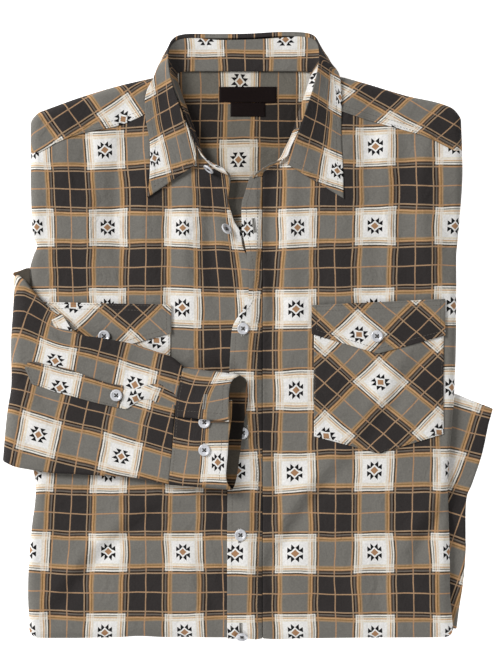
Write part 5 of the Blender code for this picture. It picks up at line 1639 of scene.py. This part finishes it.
@dataclass
class Sleeve(Piece):
    """The wearer's right sleeve, flattened, round the body's edge and across the front."""

    half: float = 3.1
    cuff_half: float = 4.2
    under_half: float = 2.3
    fold_share: float = 0.07
    tuck: float = 22.0

    @staticmethod
    def path(path: Array, share: Array) -> Array:
        """Return plan points at shares of a path's length."""
        length = lengths(path)
        return np.stack([read(np.stack([length, path[:, k]], 1), share * length[-1]) for k in (0, 1)], -1)

    def plan(self, along: Array, across: Array) -> Array:
        """Return plan points between the sleeve's four edges.

        Args:
            along: Share from the fold to the cuff.
            across: Share from the upper edge to the lower one.

        Returns:
            (x, y) of each point.
        """
        upper, lower = self.path(SLEEVE_UPPER, along), self.path(SLEEVE_LOWER, along)
        fold, end = self.path(SLEEVE_FOLD, across), self.path(SLEEVE_END, across)
        a, c = along[..., None], across[..., None]
        corners = (
            (1 - a) * (1 - c) * SLEEVE_UPPER[0] + a * (1 - c) * SLEEVE_UPPER[-1]
            + (1 - a) * c * SLEEVE_LOWER[0] + a * c * SLEEVE_LOWER[-1]
        )
        return (1 - c) * upper + c * lower + (1 - a) * fold + a * end - corners

    def lift(self, x: Array, y: Array) -> Array:
        """Return the room under the sleeve for the pocket, its flap and its button."""
        patch = np.interp(y, (-60.0, -30.0), (PLY + SEAM_GAP, 2 * PLY + SEAM_GAP))
        away = np.hypot(x + 137.2, y + 0.6)
        return patch + (BUTTON_H + 0.6) * np.maximum(0.0, 1.0 - away / 60.0) ** 1.5

    def halves(self, place: Array) -> Array:
        """Return half the sleeve's thickness: place 1 at its cuff, 0 at its fold, -1 under the body."""
        return np.interp(place, (-1.0, -0.3, 0.7, 1.0), (self.under_half, self.half, self.half, self.cuff_half))

    def middle(self, place: Array, across: Array) -> Array:
        """Return the sleeve's middle surface; below place 0 it turns down and under the body's edge.

        Args:
            place: 1 at the cuff, 0 at the fold, below 0 under the body.
            across: Share across the sleeve.

        Returns:
            The points.
        """
        over = np.maximum(place, 0.0)
        plan = self.plan(self.fold_share + (1 - self.fold_share) * over, across)
        x, y = plan[..., 0], plan[..., 1]
        top = self.body.smooth(x, y) + self.lift(x, y) + self.halves(over)
        outer = self.plan(np.zeros_like(place), across)
        level, reach = (top + self.under_half) / 2, (top - self.under_half) / 2
        turn = np.minimum(1.0, np.maximum(0.0, -place)) * math.pi
        under = place < 0
        fold_x = x + (outer[..., 0] + self.half - x) * np.sin(turn) + np.maximum(0.0, -place - 1.0) * self.tuck
        fold_y = y + (outer[..., 1] - y) * np.sin(np.minimum(turn, math.pi / 2))
        return np.stack([
            np.where(under, fold_x, x), np.where(under, fold_y, y), np.where(under, level + reach * np.cos(turn), top),
        ], -1)

    def top(self, x: Array, y: Array) -> Array:
        """Return the height of the sleeve's upper side over the body."""
        return self.body.smooth(x, y) + self.lift(x, y) + 2 * self.half + relief(SLEEVE_CREASES, x, y)

    def rings(self, places: Array, count: int) -> tuple[Array, Array]:
        """Return closed rings of points round the sleeve and their plan places unrolled along it.

        Args:
            places: Place of each ring.
            count: Points across the sleeve between its rounded edges.

        Returns:
            The rings' points and their unrolled plan places.
        """
        steps = np.linspace(0.0, 1.0, 41)
        turns = np.radians([0, 15, 30, 45, 60, 75])
        points, flat = [], []
        for place in places:
            half = float(self.halves(place))
            line = self.middle(np.full(len(steps), place), steps)
            length = lengths(line)
            total = length[-1]
            starts = half * (1 - np.cos(turns))
            spots = np.concatenate([starts, np.linspace(half, total - half, count), total - starts[::-1]])
            across = np.interp(spots, length, steps)
            here, ahead, behind, aside, inside = (
                self.middle(np.full(len(across), place + step), np.clip(across + turn, 0.0, 1.0))
                for step, turn in ((0, 0), (0.004, 0), (-0.004, 0), (0, 0.01), (0, -0.01))
            )
            normal = unit(np.cross(aside - inside, ahead - behind))
            edge = np.minimum(np.minimum(spots, total - spots), half)
            rise = np.sqrt(np.maximum(0.0, half ** 2 - (half - edge) ** 2))
            wave = relief(SLEEVE_CREASES, here[:, 0], here[:, 1]) * (rise / half) * np.clip(1 + 3 * place, 0, 1)
            upper = here + normal * (rise + wave)[:, None]
            lower = here - normal * rise[:, None]
            points.append(np.concatenate([upper, lower[-2:0:-1]]))
            unrolled = here[:, :2].copy()
            if place < 0:
                start = self.middle(np.zeros(len(across)), across)
                tangent = unit((start - self.middle(np.full(len(across), 0.02), across))[:, :2])
                unrolled = start[:, :2] + tangent * (-place * 34.0)
            flat.append(np.concatenate([unrolled, unrolled[-2:0:-1]]))
        return np.array(points), np.array(flat)

    def build(self) -> None:
        places = np.concatenate([
            np.linspace(1.0, 0.06, 76), np.linspace(0.045, -0.05, 6), np.linspace(-0.08, -1.0, 26), [-1.25, -1.5],
        ])
        points, flat = self.rings(places, 64)
        quads = grid_quads(len(places), points.shape[1], closed=True)
        chart = SLEEVE_CHECK.chart(flat[..., 0], flat[..., 1]).reshape(-1, 2)
        shell = Shell("sleeve_right_cloth", points.reshape(-1, 3), quads, chart, wall=1.1, soften=0.1, up=False)
        upper = shell.points[shell.quads].mean(1)[:, 2] > np.median(shell.points[:, 2])
        shell.turn_up(upper)
        item = shell.build(self.finishes.cotton, self.finishes.inside)
        declare(item, ("sleeve_right",))
        for strip in SLEEVE_STRIPS:
            # Tucked strips lie in the dark gap under the sleeve's fold and use the darker cloth of painted shade.
            item = self.strip(strip).build(self.finishes.painted_shade_cloth if strip.tucked else self.finishes.cotton)
            declare(item, strip.nodes)

    def strip(self, strip: Strip) -> Shell:
        """Return the shell of a strip of the sleeve."""
        start, stop = strip.upper[[0, -1], 0]
        along, near_end, across = strip.step
        x, share = np.meshgrid(edged(start, stop, along, near_end), edged(0.0, 1.0, across, 0.02))
        y = read(strip.upper, x) * (1 - share) + read(strip.lower, x) * share
        if strip.tucked:
            z = 12.0 + 6.0 * share + 0.3 * (stop - x) * (1 - share)
        else:
            z = self.top(x, y) + strip.rise + strip.swell * np.sin(math.pi * np.clip(share * 0.8 + 0.15, 0, 1))
        return grid_shell(strip.name, np.stack([x, y, z], -1), strip.check.chart(x, y), wall=strip.wall)


CUFF = rows(
    # share across, seam x, upper x, lower x, y at the seam, y at the mouth
    (0.00, -61.6, -10.5, -7, -30.4, -36.8),
    (0.10, -63.4, -16.6, -1.4, -40.8, -44.4),
    (0.25, -67, -18.7, -0.4, -57.4, -60),
    (0.45, -69.4, -18.7, -4.6, -79.8, -84.6),
    (0.70, -71.6, -19.8, -8.2, -107.6, -112.8),
    (0.90, -74, -21, -11.6, -130.6, -136),
    (1.00, -75.1, -16.8, -14.4, -141.6, -146.6),
)


@dataclass
class Cuff(Piece):
    """The open cuff: its buttonhole end lies loose over its button end."""

    seam_half: float = 4.45
    mouth_half: float = 7.4
    flap: float = 47.0
    underlap: float = 18.0
    width: float = 111.0

    def point(self, share: Array | float, out: Array | float, level: Array | float) -> Array:
        """Return points of the cuff: level 1 on its upper layer, -1 on its lower layer.

        Args:
            share: Share across the cuff.
            out: Share from its seam to its mouth.
            level: The layer.

        Returns:
            The points.
        """
        seam, upper, lower, seam_y, mouth_y = (read(CUFF[:, [0, column]], share) for column in range(1, 6))
        seam = seam - 0.8
        y = seam_y * (1 - out) + mouth_y * out
        upper = seam + (upper - seam) * out
        lower = seam + (lower - seam) * out
        half = self.seam_half + (self.mouth_half - self.seam_half) * out
        x = upper + (lower - upper) * (1 - level) / 2
        away = np.hypot(x + 2.9, y + 92.6)
        base = self.body.smooth(x, y) + PLY + SEAM_GAP + (BUTTON_H + 0.6) * np.maximum(0.0, 1 - away / 75.0) ** 1.5
        base = base + np.interp(y, (-60.0, -30.0), (0.0, PLY)) * np.maximum(0.0, 1 - out) ** 1.5
        rise = (BUTTON_H + 0.6) * np.maximum(0.0, 1 - np.abs(x + 41.7) / 22.0) ** 1.5
        rise = rise * np.interp(share, (0.2, 0.36), (0.0, 1.0)) * ((level >= 0.999) & (share <= 0.45))
        loose = np.interp(share, (0.24, 0.42), (0.0, 1.8)) * ((level >= 0.999) & (share <= 0.45))
        return np.stack([x, y, base + half * (1 + level) + rise + loose], -1)

    def girth(self) -> tuple[Array, Array]:
        """Return places round the cuff from its buttonhole end to its button end: shares and levels."""
        flap_end = self.flap / self.width
        turns = np.radians(np.arange(0, 181, 15))
        upper = [(flap_end * s, 1.0) for s in np.linspace(1.0, 0.12, 22)]
        fold = [(0.045 * (1 - math.sin(t)), math.cos(t)) for t in turns]
        lower = [(s, -1.0) for s in np.linspace(0.07, 0.93, 30)]
        fold_end = [(1 - 0.045 * (1 - math.sin(t)), -math.cos(t)) for t in turns]
        keys = np.array([
            (0.94, 1.0), (0.84, 1.0), (0.7, 1.0), (0.56, 0.96), (0.47, 0.78), (0.41, 0.68), (0.36, 0.66),
            ((self.flap - self.underlap) / self.width, 0.66),
        ])
        under = along_rows(keys, 40)
        table = np.array(upper + fold + lower + fold_end + [tuple(row) for row in under])
        return table[:, 0], table[:, 1]

    def build(self) -> None:
        share, level = self.girth()
        outs = edged(0.0, 1.0, 0.05, 0.012)
        share_g, out_g = np.meshgrid(share, outs)
        level_g = np.broadcast_to(level, share_g.shape)
        grid = self.point(share_g, out_g, level_g)
        flat = grid[..., :2]
        aside = np.where(level_g < 0, np.clip(10.7 - 0.24 * (flat[..., 0] + 20.0), 0.0, 14.0), 0.0)
        chart = CUFF_CHECK.chart(flat[..., 0] + aside, flat[..., 1])
        flap_chart = CUFF_FLAP_CHECK.chart(flat[..., 0], flat[..., 1])
        on_flap = np.arange(len(share)) < 22 + 7      # the upper layer's stations and half of the fold's
        chart = np.where(on_flap[None, :, None], flap_chart, chart)
        shell = grid_shell("cuff_cloth", grid, chart, wall=1.3, up=False)
        shell.turn_up(0)
        # The cuff's inside, seen through its mouth, uses the darker cloth of painted shade.
        item = shell.build(self.finishes.cotton, self.finishes.painted_shade_cloth)
        declare(item, ("cuff",))


LEFT_SLEEVE = rows(
    # outer fold x, y
    (233, -69.6), (231, -77), (228.5, -86), (222.6, -113.3), (213.5, -140.6), (207.6, -157.2),
    (207, -193.6), (207.2, -202), (205.1, -232), (200.8, -260), (199.4, -271), (198.4, -279.5),
)


@dataclass
class LeftSleeve(Piece):
    """The wearer's left sleeve where it shows past the body's edge, folded flat under it."""

    top: float = 4.7
    rise: float = 18.6

    def build(self) -> None:
        table = along_rows(LEFT_SLEEVE, 110)
        outer_x, outer_y = table[:, 0], table[:, 1]
        tuck = np.interp(outer_y, (-280.0, -271.0, -260.0), (1.0, 5.0, 9.4))
        inner = self.body.side(outer_y, 1) - tuck
        half = np.minimum(self.top / 2, (outer_x - inner) / 2.4)
        slant = self.rise * np.interp(outer_y, (-113.0, -69.6), (0.0, 1.0))
        turns = np.radians(np.arange(0, 181, 15))
        grid = []
        for x1, y1, x0, h, s in zip(outer_x, outer_y, inner, half, slant):
            line = [(x, h) for x in np.linspace(x0, x1 - h, 16)[:-1]]
            line += [(x1 - h * (1 - math.sin(t)), h * math.cos(t)) for t in turns]
            line += [(x, -h) for x in np.linspace(x1 - h, x0, 6)[1:]]
            grid.append([(x, y1 + s * (x1 - x) / (x1 - x0), h + z) for x, z in line])
        points = np.array(grid)
        waves = creases((196, -130, 212, -150, 5, 0.8), (196, -150, 208, -160, 5, -0.8))
        points[..., 2] += relief(waves, points[..., 0], points[..., 1]) * (points[..., 2] > 3.0)
        points[..., 2] = np.clip(points[..., 2], 0.0, 5.0)
        chart = LEFT_SLEEVE_CHECK.chart(points[..., 0], points[..., 1])
        shell = grid_shell("sleeve_left_cloth", points, chart, wall=1.1, up=False)
        shell.turn_up(0)
        item = shell.build(self.finishes.cotton, self.finishes.inside)
        declare(item, ("sleeve_left",))


@dataclass
class Buttons:
    """The shirt's ten four-hole buttons, each sewn on with a crossed thread."""

    finishes: Finishes
    hole_r: float = 0.75
    hole_at: float = 1.25
    collar_at: tuple[float, float, float] = (-38.0, 157.7, 20.4)
    places: tuple[tuple[str, float, float, float, float], ...] = (
        # node, tilt about x and y in degrees, shift along x and z
        ("button_front_1", -30, 45, 0, 2.6), ("button_front_2", 0, 0, 0, 0), ("button_front_3", 0, 0, -2.6, 0),
        ("button_front_4", 0, 0, 0, 0), ("button_front_5", 48, 0, 0, 0), ("button_pocket_left", 0, 0, 0, 0),
        ("button_pocket_right", 0, 0, 0, 0), ("button_sleeve", 0, 0, 0, 0), ("button_cuff_1", 0, -7, 0, 0),
        ("button_cuff_2", 0, -7, 0, 0), ("button_collar", 48.3, -66.8, 0, 0),
    )

    @staticmethod
    def circle(count: int) -> Array:
        """Return plan places evenly round a circle of radius 1."""
        angles = np.linspace(0, math.tau, count, endpoint=False)
        return np.stack([np.cos(angles), np.sin(angles)], 1)

    def disc(self) -> Mesh:
        """Return the resin disc: a raised rim round a dished middle, with four holes through it."""
        profile = rows(
            (0, 1.35), (1.6, 1.37), (2.6, 1.42), (3.3, 1.58), (3.8, 1.95), (4.3, 2.22), (4.9, 2.3), (5.35, 2.1),
            (5.65, 1.6), (5.7, 1.2), (5.5, 0.6), (4.9, 0.2), (3.8, 0), (0, 0),
        )
        count = 48
        rings = [np.column_stack([self.circle(count) * r, np.full(count, z)]) for r, z in profile[1:-1]]
        points = np.concatenate([[(0, 0, profile[0, 1])], *rings, [(0, 0, 0)]])
        last, base = len(points) - 1, len(points) - 1 - count
        faces = [[0, 1 + k, 1 + (k + 1) % count] for k in range(count)]
        faces += (grid_quads(len(rings), count, closed=True)[:, [0, 3, 2, 1]] + 1).tolist()
        faces += [[last, base + (k + 1) % count, base + k] for k in range(count)]
        disc = mesh_object("button_disc", points, faces, None, [self.finishes.resin])
        mesh_outward(disc)
        points, faces = [], []
        for at in ((-1, -1), (-1, 1), (1, -1), (1, 1)):
            faces += tube_faces(2, 14, 28 * len(points))
            ring = np.array(at) * self.hole_at + self.hole_r * self.circle(14)
            points.append(np.concatenate([np.column_stack([ring, np.full(14, z)]) for z in (-1.0, 4.0)]))
        drill = mesh_object("button_drill", np.concatenate(points), faces, None, [self.finishes.resin])
        holes = disc.modifiers.new("holes", "BOOLEAN")
        holes.operation, holes.solver, holes.object = "DIFFERENCE", "EXACT", drill
        mesh = bpy.data.meshes.new_from_object(disc.evaluated_get(bpy.context.evaluated_depsgraph_get()))
        for item in (disc, drill):
            bpy.data.objects.remove(item)
        return mesh

    def thread(self) -> tuple[Array, list[list[int]]]:
        """Return points and faces of the crossed thread over the four holes."""
        points: list[tuple[float, float, float]] = []
        faces: list[list[int]] = []
        slant, thick = math.sqrt(0.5), 0.3
        for sign, shift in ((-1, -0.28), (-1, 0.28), (1, -0.28), (1, 0.28)):
            faces += tube_faces(9, 7, len(points))
            for s in np.linspace(-1.0, 1.0, 9):
                z = 1.72 - 1.3 * max(0.0, abs(s) - 0.72) / 0.28 + 0.18 * (1 - s * s)
                reach = s * (self.hole_at + 0.25)
                for side, up in thick * self.circle(7):
                    aside = (side + shift) * slant
                    points.append((reach + aside * sign, reach * sign - aside, z + up))
        return np.array(points), faces

    def build(self) -> None:
        """Place the buttons on their nodes."""
        disc = self.disc()
        points, faces = self.thread()
        for name, tilt_x, tilt_y, shift_x, shift_z in self.places:
            spare = name == "button_collar"
            centre = np.array(self.collar_at)
            if not spare:
                low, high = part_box(name)
                centre = np.array((low + high) / 2) / MM + rows(shift_x, 0, shift_z)
            turn = np.array(Euler((math.radians(tilt_x), math.radians(tilt_y), 0.0)).to_matrix())
            base = centre - turn @ rows(0, 0, BUTTON_H / 2)
            mesh = disc.copy()
            mesh.name = name + "_resin"
            co = np.zeros(len(mesh.vertices) * 3)
            mesh.vertices.foreach_get("co", co)
            mesh.vertices.foreach_set("co", (co.reshape(-1, 3) @ turn.T + base * MM).ravel())
            mesh.update()
            declare(new_object(name + "_resin", mesh), () if spare else (name,))
            placed = points @ turn.T + base
            thread = mesh_object(name + "_thread", placed, faces, None, [self.finishes.button_thread])
            mesh_outward(thread)
            declare(thread, ())


class Buttonhole(NamedTuple):
    """A worked buttonhole: the piece that it is cut in, its middle and the plan direction of its slit."""

    piece: str
    x: float
    y: float
    way_x: float
    way_y: float


@dataclass
class Sewing:
    """Rows of stitches and worked buttonholes, laid on the pieces that they go through."""

    finishes: Finishes
    pitch: float = 3.0
    stitch: float = 2.3
    radius: float = 0.2
    hole_length: float = 14.0
    holes: tuple[Buttonhole, ...] = (
        Buttonhole("front_placket_cloth", 5.4, 104.6, -0.14, 1.0),
        Buttonhole("front_placket_cloth", -5.5, 6.6, 0.0, 1.0),
        Buttonhole("front_placket_cloth", -2.4, -92.0, 0.0, 1.0),
        Buttonhole("front_placket_cloth", -8.4, -190.0, 0.0, 1.0),
        Buttonhole("front_placket_cloth", -7.4, -280.0, 0.0, 1.0),
        Buttonhole("cuff_cloth", -41.4, -62.6, 0.12, 1.0),
    )

    def surface(self, item: Object) -> BVHTree:
        """Return a piece's mesh ready for casting rays at it."""
        mesh = item.data
        return BVHTree.FromPolygons([v.co[:] for v in mesh.vertices], [p.vertices[:] for p in mesh.polygons])

    def land(self, tree: BVHTree, plan: Array) -> tuple[Array, Array, Array]:
        """Drop plan places on a piece.

        Args:
            tree: The piece.
            plan: Plan places.

        Returns:
            Whether each place hits, the points and the normals.
        """
        hit, points, normals = np.zeros(len(plan), bool), np.zeros((len(plan), 3)), np.zeros((len(plan), 3))
        for at, (x, y) in enumerate(plan * MM):
            place, normal, _, _ = tree.ray_cast((x, y, 0.2), (0.0, 0.0, -1.0))
            if place is not None and normal[2] > 0.3:
                hit[at], points[at], normals[at] = True, np.array(place) / MM, normal
        return hit, points, normals

    @staticmethod
    def stitches(middle: Array, way: Array, normal: Array, length: float, radius: float) -> tuple[Array, Array]:
        """Return points and quads of stitches that dip into the cloth at both ends.

        Args:
            middle: Middle of each stitch.
            way: Direction of each stitch.
            normal: The cloth's normal at each stitch.
            length: Length of a stitch.
            radius: Half its thickness.

        Returns:
            Points and quads.
        """
        way = unit(way - normal * np.sum(way * normal, 1, keepdims=True))
        side = np.cross(normal, way)
        points = []
        for share, height in ((-0.5, -0.5), (-0.32, 0.08), (0.32, 0.08), (0.5, -0.5)):
            spine = middle + way * share * length + normal * height * radius * 2
            for a, b in ((1, 0), (0, 1), (-1, 0), (0, -1)):
                points.append(spine + normal * a * radius + side * b * radius)
        every = np.array(tube_faces(4, 4))[None] + 16 * np.arange(len(middle))[:, None, None]
        return np.stack(points, 1).reshape(-1, 3), every.reshape(-1, 4)

    def row(self, tree: BVHTree, path: Array) -> tuple[Array, Array]:
        """Return points and quads of a row of stitches along a plan path.

        Args:
            tree: The piece.
            path: The path.

        Returns:
            Points and quads.
        """
        length = lengths(path)
        at = np.arange(self.pitch / 2, length[-1], self.pitch)
        plan, ahead, behind = (
            np.stack([np.interp(at + step, length, path[:, k]) for k in (0, 1)], 1) for step in (0.0, 0.3, -0.3)
        )
        hit, points, normals = self.land(tree, plan)
        way = np.concatenate([ahead - behind, np.zeros((len(at), 1))], 1)
        return self.stitches(points[hit], way[hit], normals[hit], self.stitch, self.radius)

    def make(self, name: str, parts: Sequence[tuple[Array, Array]], finish: Material) -> None:
        """Args:
            name: The piece's name.
            parts: Points and quads of each set.
            finish: Material of the thread.
        """
        start, points, quads = 0, [], []
        for spots, corners in parts:
            points.append(spots)
            quads.append(corners + start)
            start += len(spots)
        if not start:
            return
        every = np.concatenate(points)
        item = mesh_object(name, every, np.concatenate(quads), every[:, :2], [finish])
        declare(item, ())

    @staticmethod
    def beside(path: Array, distance: float) -> Array:
        """Return a path moved to its left by a distance, with mitred corners.

        Args:
            path: The path.
            distance: How far it moves.

        Returns:
            The moved path.
        """
        way = unit(np.diff(path, axis=0))
        left = np.stack([-way[:, 1], way[:, 0]], 1)
        before, after = np.concatenate([left[:1], left]), np.concatenate([left, left[-1:]])
        mitre = before + after
        mitre /= np.sum(mitre * mitre, 1, keepdims=True) / 2
        return path + mitre * distance

    def rows_of(self, body: Body, patches: Patches, cuff: Cuff) -> list[tuple[str, list[Array]]]:
        """Return the plan paths of the rows of stitches on each piece.

        Args:
            body: The folded body.
            patches: The pockets and flaps.
            cuff: The cuff.

        Returns:
            Each piece's name and its paths.
        """
        y = np.linspace(-279.0, 147.0, 200)
        found = [("front_placket_cloth", [
            np.stack([read(PLACKET_EDGE, y) + 4.6, y], 1), np.stack([np.full(200, PLACKET_SEAM_X - 4.6), y], 1),
        ])]
        for shape, _ in patches.shapes:
            side = 1.0 if shape.outer > shape.inner else -1.0
            corners = np.array([
                (shape.inner, shape.top_inner), (shape.inner, shape.foot_inner), (shape.tip_x, shape.tip),
                (shape.outer, shape.foot_outer), (shape.outer, shape.top_outer),
            ])
            inset = 1.6 if shape.layer == 1 else 4.8
            paths = [self.beside(corners, side * inset)]
            if shape.layer == 2:
                top = np.array([(shape.inner, shape.top_inner), (shape.outer, shape.top_outer)])
                paths += [self.beside(top, -side * 1.6), self.beside(top, -side * 6.0)]
            found.append((shape.name + "_cloth", paths))
        share = np.linspace(0.0, 1.0, 90)
        for name, inner, seam, sign in (
            ("yoke_right_cloth", FRONT_EDGE_RIGHT, YOKE_SEAM_RIGHT, -1),
            ("yoke_left_cloth", FRONT_EDGE_LEFT, YOKE_SEAM_LEFT, 1),
        ):
            level = read(seam, share)
            x = read(inner, level) * (1 - share) + (body.side(level, sign) - sign * FOLD_R) * share
            found.append((name, [np.stack([x, level + 1.4], 1), np.stack([x, level + 5.6], 1)]))
        right = rows(
            (-52, 161), (-96.4, 130.8), (-94, 151), (-93.8, 182), (-98.2, 209), (-97.6, 229), (-90.6, 245),
        )
        left = rows(
            (37.6, 162), (90.4, 130.2), (89.8, 160), (88.6, 183), (88.2, 206), (88.6, 226), (86.4, 247.6),
        )
        found.append(("collar_fall_cloth", [self.beside(right, -5.2), self.beside(left, 5.2)]))
        flap_foot = cuff.flap / cuff.width - 0.055
        found.append(("cuff_cloth", [cuff.point(share, out, 1.0)[:, :2] for share, out in (
            (np.linspace(0.06, flap_foot, 40), 0.88), (flap_foot, np.linspace(0.04, 0.88, 40)),
            (np.linspace(0.47, 0.93, 40), 0.88), (np.linspace(0.06, 0.93, 80), 0.05),
        )]))
        found.append(("sleeve_placket_cloth", [rows(
            (-119.5, -49.6), (-130, -47.6), (-150, -41.2), (-169, -34), (-194, -28.8), (-206, -27.4),
            (-209.4, -31.4), (-204.6, -44), (-197, -46.6), (-185, -51), (-169, -55.2), (-150, -60.6),
            (-130, -65.4), (-119.5, -67.8),
        )]))
        return found

    def buttonhole(self, tree: BVHTree, hole: Buttonhole) -> tuple[tuple[Array, Array], tuple[Array, Array]]:
        """Return the stitches round a slit, and a dark strip along the slit, painted shadow of the cut.

        Args:
            tree: The piece.
            hole: The buttonhole.

        Returns:
            Points and quads of both.
        """
        way = np.array([hole.way_x, hole.way_y])
        way /= np.hypot(*way)
        side = np.array([-way[1], way[0]])
        at = np.arange(-self.hole_length / 2, self.hole_length / 2, 0.55)
        middle = np.array([hole.x, hole.y])
        plan = np.concatenate([middle + at[:, None] * way + side, middle + at[:, None] * way - side])
        hit, points, normals = self.land(tree, plan)
        across = np.broadcast_to(np.array([side[0], side[1], 0.0]), points.shape)
        worked = self.stitches(points[hit], across[hit].copy(), normals[hit], 1.5, 0.3)
        # Short dark tubes along the slit: painted shadow of the cut, not thread.
        slit = middle + np.linspace(-0.42, 0.42, 7)[:, None] * self.hole_length * way
        hit, points, normals = self.land(tree, slit)
        along = np.broadcast_to(np.array([way[0], way[1], 0.0]), points.shape)
        return worked, self.stitches(points[hit], along[hit].copy(), normals[hit], 2.4, 0.32)

    def build(self, body: Body, patches: Patches, cuff: Cuff) -> None:
        """Sew every row and work every buttonhole.

        Args:
            body: The folded body.
            patches: The pockets and flaps.
            cuff: The cuff.
        """
        for name, paths in self.rows_of(body, patches, cuff):
            tree = self.surface(bpy.data.objects[name])
            sewn = [self.row(tree, path) for path in paths]
            self.make(name.replace("_cloth", "_stitches"), sewn, self.finishes.seam_thread)
        for number, hole in enumerate(self.holes, 1):
            worked, slit = self.buttonhole(self.surface(bpy.data.objects[hole.piece]), hole)
            self.make(f"buttonhole_{number}_thread", [worked], self.finishes.buttonhole_thread)
            # The dark strip in the slit is painted shadow, drawn with the dark thread's material.
            self.make(f"buttonhole_{number}_slit", [slit], self.finishes.button_thread)


@dataclass
class Studio:
    """The pale floor, the soft light and the camera straight above."""

    centre: tuple[float, float] = (0.0014, 0.00095)
    distance: float = 4.0
    height_px: int = 669
    mm_per_px: float = 0.95
    sensor: float = 36.0
    front_z: float = 0.016

    def floor(self) -> None:
        """Lay the pale floor."""
        corners = ((-1, -1), (1, -1), (1, 1), (-1, 1))
        points = rows(*((3000 * x, 3000 * y, -0.4) for x, y in corners))
        paper = mesh_object("studio_paper", points, [[0, 1, 2, 3]], points[:, :2], [StudioPaper().build()])

    def light(self) -> None:
        """Hang a large soft light high on the wearer's right, and fill the room with pale light."""
        world = bpy.data.worlds.new("studio_room")
        bpy.context.scene.world = world
        world.use_nodes = True
        colour, strength = world.node_tree.nodes["Background"].inputs[:2]
        colour.default_value, strength.default_value = srgb("ffffff"), 0.2
        for name, place, size, power in (
            ("key_softbox", (-2.6, 1.7, 2.3), 1.5, 147.0),
            ("low_softbox", (0.7, -1.5, 1.3), 1.1, 15.0),
        ):
            lamp = bpy.data.lights.new(name, "AREA")
            lamp.shape, lamp.size, lamp.energy = "SQUARE", size, power
            item = new_object(name, lamp)
            item.location = place
            way = unit(-np.array(place))
            item.rotation_euler = (math.acos(-way[2]), 0.0, math.atan2(way[1], way[0]) - math.pi / 2)

    def camera(self) -> None:
        """Point the camera straight down from far above."""
        camera = bpy.data.cameras.new("camera")
        camera.sensor_fit, camera.sensor_height, camera.sensor_width = "VERTICAL", self.sensor, self.sensor
        shown = self.height_px * self.mm_per_px * MM
        camera.lens = self.sensor * (self.distance - self.front_z) / shown
        camera.clip_end = 20.0
        item = new_object("camera", camera)
        item.location = (*self.centre, self.distance)
        bpy.context.scene.camera = item

    def build(self) -> None:
        """Set up the whole studio."""
        bpy.context.scene.view_settings.view_transform = "Standard"
        self.floor()
        self.light()
        self.camera()


def main() -> None:
    """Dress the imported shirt."""
    for item in bpy.data.objects[:]:
        bpy.data.objects.remove(item, do_unlink=True)
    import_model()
    finishes = Finishes()
    body = Body()
    Studio().build()
    FoldedStack(body, finishes).build()
    NeckInside(body, finishes).build()
    Fronts(body, finishes).build()
    patches = Patches(body, finishes)
    patches.build()
    Collar(finishes).build()
    Sleeve(body, finishes).build()
    cuff = Cuff(body, finishes)
    cuff.build()
    LeftSleeve(body, finishes).build()
    Buttons(finishes).build()
    Sewing(finishes).build(body, patches, cuff)
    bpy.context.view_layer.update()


if __name__ == "__main__":
    main()
